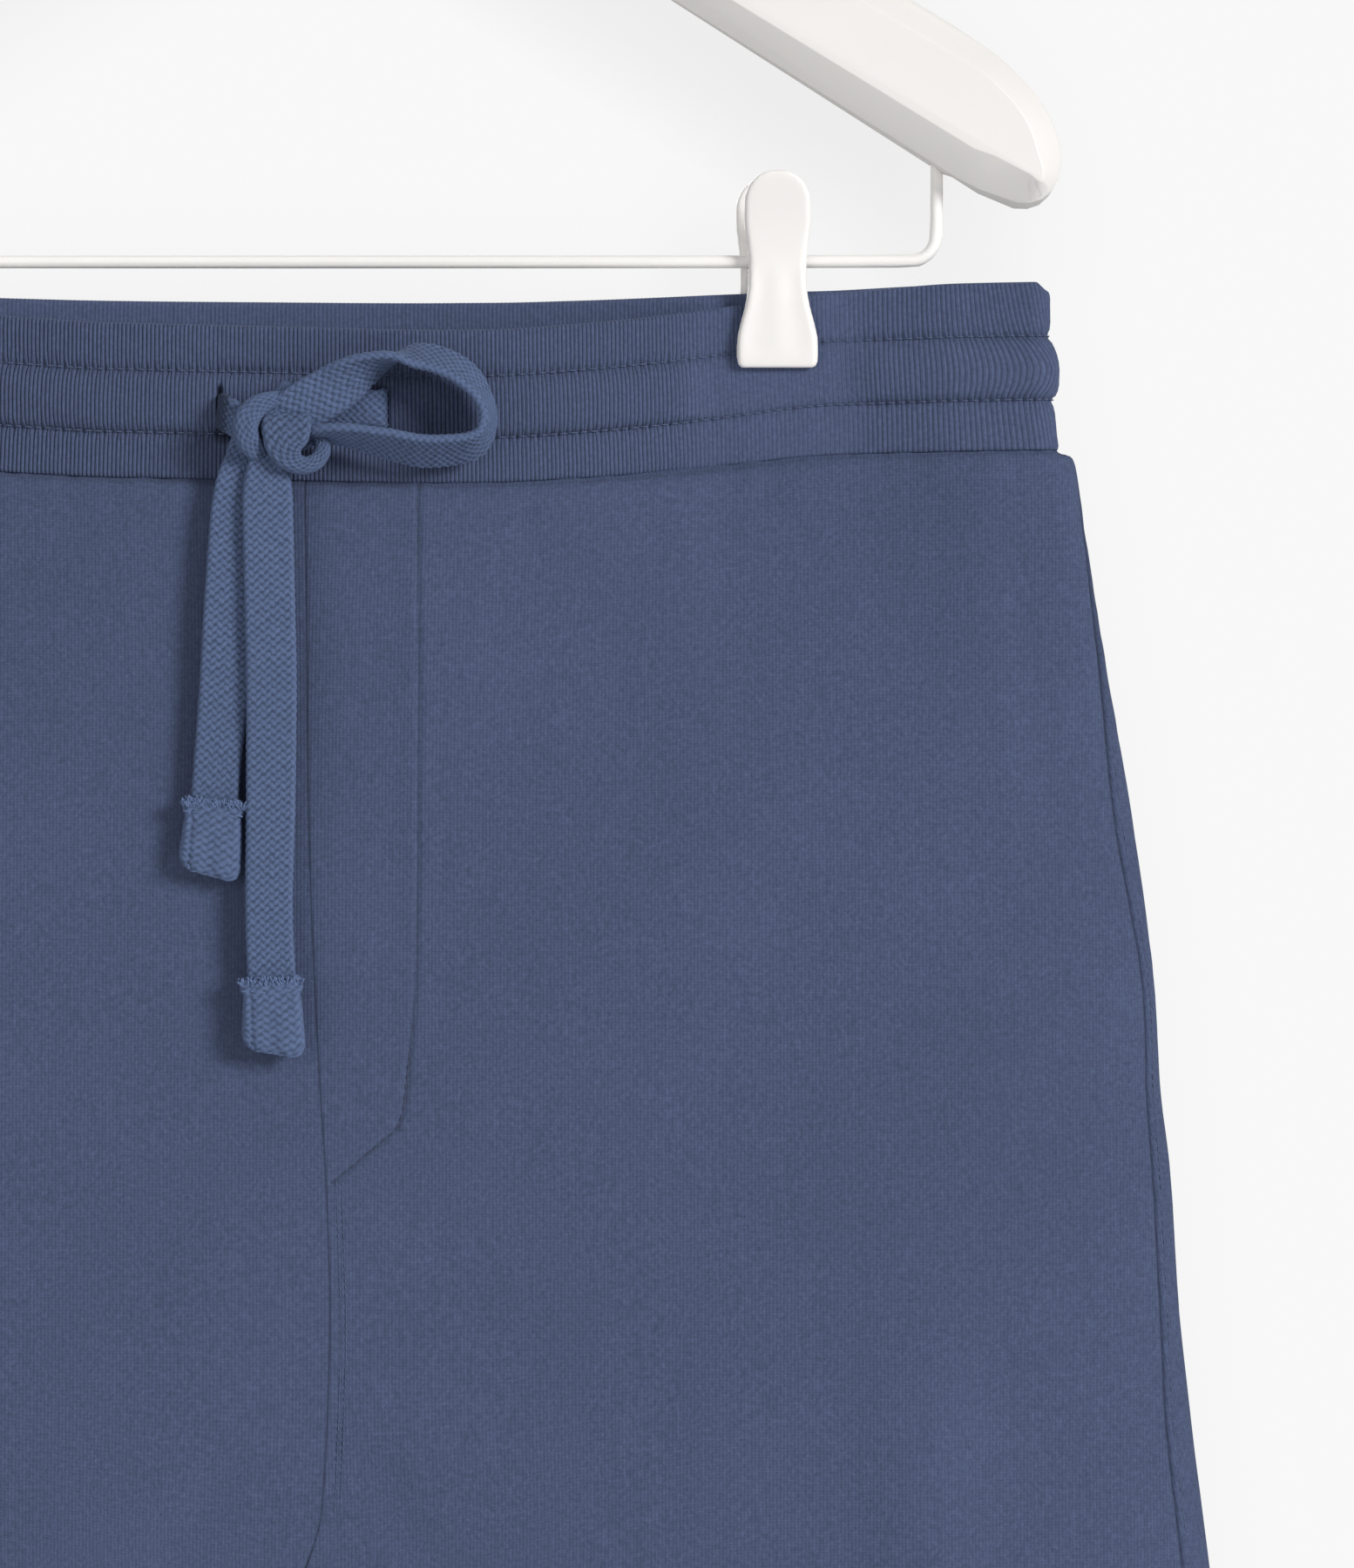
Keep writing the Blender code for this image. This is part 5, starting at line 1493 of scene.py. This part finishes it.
def frayed_fringe(name, start, side, out, on, seed):
    """Cut yarn ends and the bar of tacking stitches across a tail's flap."""
    rng = np.random.default_rng(seed)
    starts, ends = [], []
    for _ in range(YARN_ENDS):
        across = rng.uniform(-8.0, 8.0)
        root = start + side * across + out * rng.uniform(1.6, 2.4) + on * rng.uniform(1.4, 2.6)
        way = (side * rng.uniform(-0.7, 0.7) + out * rng.uniform(0.1, 0.8)
               - on * rng.uniform(0.5, 1.0))
        starts.append(root)
        ends.append(root + unit(way) * rng.uniform(1.2, 2.6))
    for k in range(TACKS):
        across = -6.9 + 2.3 * k
        low = rng.uniform(3.2, 3.8)
        starts.append(start + side * (across - 0.9) + out * 2.3 + on * low)
        high = low + rng.uniform(-0.4, 0.4)
        ends.append(start + side * (across + 0.9) + out * 2.3 + on * high)
    for k in range(EDGE_TACKS):
        starts.append(start - side * EDGE_TACK + out * 1.7 + on * (5.4 + 2.3 * k))
        ends.append(start - side * (EDGE_TACK - 0.2) + out * 1.7 + on * (6.9 + 2.3 * k))
    yarn = thread("braid_yarn", bpy.context.scene.shorts_drawstring.colour, (1.15, 1.7, 0.7),
                  amount=0.5, roughness=0.9, sheen=0.2)
    return stitches(name, starts, ends, [out] * len(starts), yarn, 0.5)


def join_as(name, pieces):
    """Joins mesh objects into the first one, which takes the name."""
    select_only(pieces[0])
    for piece in pieces[1:]:
        piece.select_set(True)
    bpy.ops.object.join()
    pieces[0].name = pieces[0].data.name = name
    return pieces[0]


class SHORTS_OT_drawstring(bpy.types.Operator):
    """The drawstring: two lengths of flat braid, tied in a one-loop bow with doubled ends"""
    bl_idname = "shorts.drawstring"
    bl_label = "Drawstring"
    bl_options = {"REGISTER", "UNDO"}

    def execute(self, context):
        knot = join_as("bow_knot", [
            braid_strip("knot_" + name, route, relief=SMOOTH_STRAPS[name], shade=KNOT_SHADE)[0]
            for name, route in KNOT_STRAPS.items()])
        place(knot, "braid", "drawstring_knot")
        for name, route, parts in (("left", CORD_LEFT, ("lead_left", "loop", "tail_left")),
                                   ("right", CORD_RIGHT, ("lead_right", "tail_right"))):
            cord, centres, length = braid_strip("drawstring_" + name + "_cord", route,
                                                lead_shade=LEAD_SHADE[name])
            place(cord, "braid", *("drawstring_" + part for part in parts))
            end, start, side, out, on = folded_end("folded_end_" + name, route)
            place(end, "braid", "drawstring_end_" + name)
            fray = frayed_fringe("frayed_yarn_" + name, start, side, out, on, SEED + len(name))
            place(fray, "braid")
        return {"FINISHED"}


# ---------------------------------------------------------------------------- hanger

CLIP_X = 124.5
REAR_SHIFT = 2.0
CLIP_PLATE = Table("z half_width inner thick", (
    (-19.8, 9.4, 4, 1.6), (-19, 10.4, 3.6, 2.4), (-16.5, 10.7, 3.6, 2.8), (-12.5, 10.6, 3.6, 3),
    (-8, 9.7, 3.6, 3.1), (-3, 8.4, 3.6, 3.2), (2.5, 7.7, 2.9, 3.3), (7.5, 7.7, 2.2, 3.6),
    (13, 8.2, 3.3, 3.2), (19, 8.8, 5.2, 2.8), (24, 8.7, 7, 2.6), (27.6, 7.5, 8.3, 2.5),
    (30, 5.3, 9.2, 2.3), (31.4, 2.4, 9.8, 1.8)))
FLUTES = 2
FLUTE_DEPTH = 0.28
FLUTED = (-19.0, 9.0)     # heights between which a plate is fluted
PLATE_CUTS = 39           # in each edge of the block that a plate is shaped from
PLATE_GRAIN = 0.45        # side of the voxels that a plate is remeshed with
THIN_EDGE = 0.12          # least thickness at a plate's edge, as a share


def clip_plate(name, x, face):
    """One plate of a clip, from a cut-up block: waisted, round at the lever, fluted at the bar."""
    deselect()
    bpy.ops.mesh.primitive_cube_add(size=2.0)
    made = bpy.context.object
    made.name = made.data.name = name
    bpy.ops.object.mode_set(mode="EDIT")
    bpy.ops.mesh.select_all(action="SELECT")
    bpy.ops.mesh.subdivide(number_cuts=PLATE_CUTS)
    bpy.ops.object.mode_set(mode="OBJECT")
    low, high = CLIP_PLATE.rows[0][0], CLIP_PLATE.rows[-1][0]
    block = get_points(made)      # from -1 to 1 each way
    along = np.sign(block[:, 2]) * (1 - (1 - np.abs(block[:, 2])) ** 1.3)
    z = mix(low, high, (along + 1) / 2)
    half_width, inner, thick = (CLIP_PLATE.at(z, name) for name in ("half_width", "inner", "thick"))
    across, outward = block[:, 0], block[:, 1] * face
    past_flat = np.maximum((np.abs(across) - 1) * half_width / (thick / 2) + 1, 0)
    edge = np.sqrt(np.maximum(1 - past_flat ** 2, 0))
    depth = inner + thick / 2 + outward * thick / 2 * np.maximum(edge, THIN_EDGE)
    outer = smooth((outward + 1) / 2)
    fluted = smooth((z - FLUTED[0]) / 6) * smooth((FLUTED[1] - z) / 7)
    flute = 0.5 - 0.5 * np.cos(2 * pi * FLUTES * (across * 0.5 + 0.5))
    depth = depth - FLUTE_DEPTH * flute * fluted * outer * smooth((0.9 - np.abs(across)) / 0.2)
    set_points(made, np.stack((x + across * half_width, face * depth, WAIST_TOP + z), -1) * MM)
    # The clips' plastic is a lighter copy of the arms': painted light.
    made.data.materials.append(moulded_plastic("clip_plastic", 1.08))
    made.data.shade_smooth()
    apply_modifier(made, "REMESH", mode="VOXEL", voxel_size=PLATE_GRAIN * MM, adaptivity=0.0)
    apply_modifier(made, "SMOOTH", iterations=4, factor=0.5)
    made.data.shade_smooth()
    return made


class SHORTS_OT_clips(bpy.types.Operator):
    """The two clips' plates, and the finish of the leaf springs between them"""
    bl_idname = "shorts.clips"
    bl_label = "Clips"
    bl_options = {"REGISTER", "UNDO"}

    def execute(self, context):
        for name, side in (("left", 1), ("right", -1)):
            for part, face in (("front", -1), ("back", 1)):
                x = side * (CLIP_X - (REAR_SHIFT if face > 0 else 0))
                plate = clip_plate(f"plate_{name}_{part}", x, face)
                place(plate, "white_plastic", f"clip_{name}_{part}")
            finish_node(f"clip_{name}_spring", spring_strip())
        return {"FINISHED"}


def finish_node(node, material):
    """Gives a carried-over CAD node its finish."""
    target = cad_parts[node]
    target.data.materials.clear()
    target.data.materials.append(material)


BAR_X = 166.4
BAR_LEVEL = 7.5
BAR_RAISE = 0.8           # it is seen this much higher than its solid lies
BAR_BEND = (11.0, 7.4)    # radius of its bends in the part, and as seen
TIP_EDGE = ((165.0, 170.0, 175.5, 182.3, 188.0, 191.5), (165.0, 170.2, 176.0, 183.4, 190.2, 193.6),
            (0.0, 0.6, 1.8, 2.6, 0.4, -2.6))   # x in the part, x as seen, and how far it is raised
UNDERSIDE = ((0.0, 164.0, 200.0), (138.8, 34.35, 19.0))   # x, and height of the arms' lower edge
REAR_LIFT = 1.9           # of the underside's rear edge, as far out as the tip
TIP_START = 186.0


def merged_copy(node):
    """A copy of a CAD node's mesh, its doubled points merged, to be worked on."""
    mesh = bmesh.new()
    mesh.from_mesh(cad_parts[node].data)
    bmesh.ops.remove_doubles(mesh, verts=mesh.verts, dist=0.01 * MM)
    return mesh


def worked_object(name, mesh, material):
    data = bpy.data.meshes.new(name)
    mesh.to_mesh(data)
    mesh.free()
    data.materials.append(material)
    return link_object(name, data)


class SHORTS_OT_hanger(bpy.types.Operator):
    """The moulded arms with rounded edges, the bar and the hook"""
    bl_idname = "shorts.hanger"
    bl_label = "Hanger"
    bl_options = {"REGISTER", "UNDO"}

    def execute(self, context):
        self.arms(context.scene.shorts_hanger.edge_round)
        self.bar()
        finish_node("hanger_hook", coated_wire())
        return {"FINISHED"}

    def arms(self, edge_round):
        mesh = merged_copy("hanger_arms")
        bmesh.ops.dissolve_limit(mesh, angle_limit=radians(3), verts=mesh.verts, edges=mesh.edges)
        for vertex in mesh.verts:
            self.shape_tip(vertex)
        made = worked_object("moulded_arms", mesh, moulded_plastic())
        apply_modifier(made, "BEVEL", width=edge_round, segments=4, limit_method="ANGLE",
                       angle_limit=radians(25), harden_normals=False)
        made.data.shade_smooth()
        made.data.set_sharp_from_angle(angle=radians(30))
        place(made, "white_plastic", "hanger_arms")

    def shape_tip(self, vertex):
        """Draws the lower edge of each face out at the tip, so that the underside broadens there,
        and lifts the underside's rear edge a little."""
        x, y, z = vertex.co / MM
        height, at = z - WAIST_TOP, abs(x)
        if y > 5 and 20 < at < TIP_START and height < np.interp(at, *UNDERSIDE) + 9:
            vertex.co.z += REAR_LIFT * smooth((TIP_START - at) / 20) * MM
        if abs(y) > 14.0 and at > TIP_EDGE[0][0] - 5 and height < min(46, 44 - 0.35 * (at - 165)):
            new_x, raised = (np.interp(at, TIP_EDGE[0], column) for column in TIP_EDGE[1:])
            vertex.co.x = (new_x if x > 0 else -new_x) * MM
            vertex.co.z = (z + raised) * MM

    def bar(self):
        """A merged copy of the bar, its two bends drawn in to their tighter radius."""
        mesh = merged_copy("hanger_bar")
        level = WAIST_TOP + BAR_LEVEL + BAR_RAISE
        for vertex in mesh.verts:
            vertex.co.z += BAR_RAISE * MM
            x, y, z = vertex.co / MM
            away = Vector((abs(x) - (BAR_X - BAR_BEND[0]), z - (level + BAR_BEND[0])))
            if away.x > -0.01 and away.y < 0.01:
                grown = away.normalized() * (away.length - BAR_BEND[0] + BAR_BEND[1])
                new_x = BAR_X - BAR_BEND[1] + grown.x
                vertex.co.x = (new_x if x > 0 else -new_x) * MM
                vertex.co.z = (level + BAR_BEND[1] + grown.y) * MM
        made = worked_object("coated_bar", mesh, coated_wire())
        apply_modifier(made, "SUBSURF", levels=1, render_levels=1)
        made.data.shade_smooth()
        place(made, "coated_wire", "hanger_bar")


# ---------------------------------------------------------------------------- stage

PHOTO_SIZE = (1554, 1800)
PHOTO_SCALE = 4.4         # photo pixels to a millimetre, at the scale plane
SCALE_PLANE_Y = -12.0
CAMERA_DISTANCE = 1600.0  # of the photograph, from which the cords' routes are read
PHOTO_CENTRE = (98.2, -128.9)   # x, and height from the waistband's top edge
FLOOR_Z = -1250.0
FLOOR_RADIUS = 2.2        # in metres
LIGHTS = {                # the way each light comes from, and its breadth in degrees
    "key": ((1.15, -1.0, 0.5), 20),
    "fill": ((-0.7, -1.0, 0.1), 50),
    "low": ((0.8, -0.6, -1.0), 60),
    "back": ((-0.5, 1.0, 0.45), 40),
}
WALL_Y = 40.0             # behind all of the object
WALL_HALF = 1800.0
# the wall's painted shadow: its reach, its depth, and the way it leans
SHADOW_REACH = 45.0
SHADOW_DEPTH = 0.36
SHADOW_TOWARD = (0.72, -0.62, 0.3)
SQUARE_ON = 0.02          # how far from straight on the wall is still seen


class SHORTS_OT_camera(bpy.types.Operator):
    """A camera straight in front, framed as the photograph is"""
    bl_idname = "shorts.camera"
    bl_label = "Camera"
    bl_options = {"REGISTER", "UNDO"}

    def execute(self, context):
        distance = context.scene.shorts_stage.camera_distance
        data = bpy.data.cameras.new("camera")
        data.sensor_fit = "AUTO"
        data.sensor_width = 36.0
        data.lens = data.sensor_width * distance / (PHOTO_SIZE[1] / PHOTO_SCALE * MM)
        data.clip_start = 0.05
        data.clip_end = 20.0
        camera = link_object("camera", data)
        x, height = PHOTO_CENTRE
        camera.location = (x * MM, SCALE_PLANE_Y * MM - distance, (WAIST_TOP + height) * MM)
        camera.rotation_euler = (radians(90), 0, 0)
        context.scene.camera = camera
        return {"FINISHED"}


class SHORTS_OT_stage(bpy.types.Operator):
    """A pale floor far below, a pale wall that shows from the front only, and soft light"""
    bl_idname = "shorts.stage"
    bl_label = "Stage"
    bl_options = {"REGISTER", "UNDO"}

    def execute(self, context):
        settings = context.scene.shorts_stage
        context.scene.view_settings.view_transform = "Standard"
        self.floor()
        self.wall()
        for name, (toward, breadth) in LIGHTS.items():
            self.sun(name + "_light", toward, getattr(settings, name + "_strength"), breadth)
        self.surroundings(context, settings)
        return {"FINISHED"}

    def floor(self):
        deselect()
        bpy.ops.mesh.primitive_circle_add(vertices=96, radius=FLOOR_RADIUS, fill_type="NGON",
                                          location=(0, 0, FLOOR_Z * MM))
        floor = bpy.context.object
        floor.name = "pale_floor"
        material, _, shader = new_material("floor_pale", 0.9)
        shader.inputs["Base Color"].default_value = (0.95, 0.95, 0.95, 1)
        shader.inputs["Specular IOR Level"].default_value = 0.0
        floor.data.materials.append(material)

    def wall(self):
        """A large flat backdrop, seen only from straight in front, with a painted soft shadow: an
        ambient occlusion node darkens its glow where something stands in front of it."""
        x, z = np.meshgrid((-WALL_HALF, WALL_HALF), (FLOOR_Z, FLOOR_Z + 2 * WALL_HALF))
        points = np.stack((x, np.full(x.shape, WALL_Y), z), -1)
        faces = grid_faces(2, 2, flip=False)
        material = bpy.data.materials.new("wall_pale")
        material.use_nodes = True
        n = Nodes(material.node_tree)
        material.node_tree.nodes.remove(material.node_tree.nodes["Principled BSDF"])
        glow, clear = n.add("ShaderNodeEmission"), n.add("ShaderNodeBsdfTransparent")
        # painted shadow: an ambient occlusion node, leaning toward the key light, darkens the
        # wall's glow
        hidden = n.add("ShaderNodeAmbientOcclusion", samples=16)
        hidden.inputs["Distance"].default_value = SHADOW_REACH * MM
        toward = n.add("ShaderNodeCombineXYZ")
        for socket, value in zip(toward.inputs, SHADOW_TOWARD):
            socket.default_value = value
        n.link(toward.outputs[0], hidden.inputs["Normal"])
        dark = n.times(n.minus(1.0, hidden.outputs["AO"]), SHADOW_DEPTH)
        bright = bpy.context.scene.shorts_stage.background
        n.link(n.times(n.minus(1.0, dark), bright), glow.inputs["Strength"])
        square = n.add("ShaderNodeLayerWeight")
        ahead = n.add("ShaderNodeCombineXYZ")
        ahead.inputs["Y"].default_value = -1.0
        n.link(ahead.outputs[0], square.inputs["Normal"])
        seen = n.math("LESS_THAN", square.outputs["Facing"], SQUARE_ON)
        seen = n.times(seen, n.add("ShaderNodeLightPath").outputs["Is Camera Ray"])
        away = n.add("ShaderNodeNewGeometry").outputs["Backfacing"]
        seen = n.times(seen, n.minus(1.0, away))
        blend = n.add("ShaderNodeMixShader")
        n.link(seen, blend.inputs[0])
        n.link(clear.outputs[0], blend.inputs[1])
        n.link(glow.outputs[0], blend.inputs[2])
        n.link(blend.outputs[0], material.node_tree.nodes["Material Output"].inputs["Surface"])
        wall = new_object("pale_wall", points.reshape(-1, 3), faces, material)
        wall.visible_diffuse = wall.visible_glossy = wall.visible_shadow = False
        wall.visible_transmission = wall.visible_volume_scatter = False

    def sun(self, name, toward, strength, breadth):
        data = bpy.data.lights.new(name, "SUN")
        data.energy = strength
        data.angle = radians(breadth)
        light = link_object(name, data)
        light.location = Vector(toward) * 2
        light.rotation_euler = Vector(toward).to_track_quat("Z", "Y").to_euler()

    def surroundings(self, context, settings):
        world = bpy.data.worlds.new("surroundings")
        world.use_nodes = True
        context.scene.world = world
        n = Nodes(world.node_tree)
        shown = world.node_tree.nodes["Background"]
        shown.inputs["Color"].default_value = (settings.background,) * 3 + (1,)
        lit = n.add("ShaderNodeBackground")
        lit.inputs["Color"].default_value = (settings.ambience,) * 3 + (1,)
        blend = n.add("ShaderNodeMixShader")
        n.link(n.add("ShaderNodeLightPath").outputs["Is Camera Ray"], blend.inputs[0])
        n.link(lit.outputs[0], blend.inputs[1])
        n.link(shown.outputs[0], blend.inputs[2])
        n.link(blend.outputs[0], world.node_tree.nodes["World Output"].inputs["Surface"])


# ---------------------------------------------------------------------------- add-on

class SHORTS_PT_panel(bpy.types.Panel):
    """The settings and the operators, in the order in which the pieces are made"""
    bl_label = "Sweat Bermuda Shorts"
    bl_space_type = "VIEW_3D"
    bl_region_type = "UI"
    bl_category = "Shorts"

    def draw(self, context):
        for name, group in SETTINGS.items():
            box = self.layout.box()
            box.label(text=group.__doc__)
            for key in group.__annotations__:
                box.prop(getattr(context.scene, name), key)
        for operator in OPERATORS:
            self.layout.operator(operator.bl_idname)


SETTINGS = {
    "shorts_cloth": ClothSettings,
    "shorts_drawstring": DrawstringSettings,
    "shorts_hanger": HangerSettings,
    "shorts_stage": StageSettings,
}
OPERATORS = (SHORTS_OT_camera, SHORTS_OT_drawstring, SHORTS_OT_waistband, SHORTS_OT_panels,
             SHORTS_OT_stitching, SHORTS_OT_hanger, SHORTS_OT_clips, SHORTS_OT_stage)
CLASSES = (*SETTINGS.values(), *OPERATORS, SHORTS_PT_panel)


def register():
    for item in CLASSES:
        bpy.utils.register_class(item)
    for name, group in SETTINGS.items():
        setattr(bpy.types.Scene, name, bpy.props.PointerProperty(type=group))


def unregister():
    for name in SETTINGS:
        delattr(bpy.types.Scene, name)
    for item in reversed(CLASSES):
        bpy.utils.unregister_class(item)


def main():
    register()
    for operator in OPERATORS:
        family, name = operator.bl_idname.split(".")
        getattr(getattr(bpy.ops, family), name)()


if __name__ == "__main__":
    main()
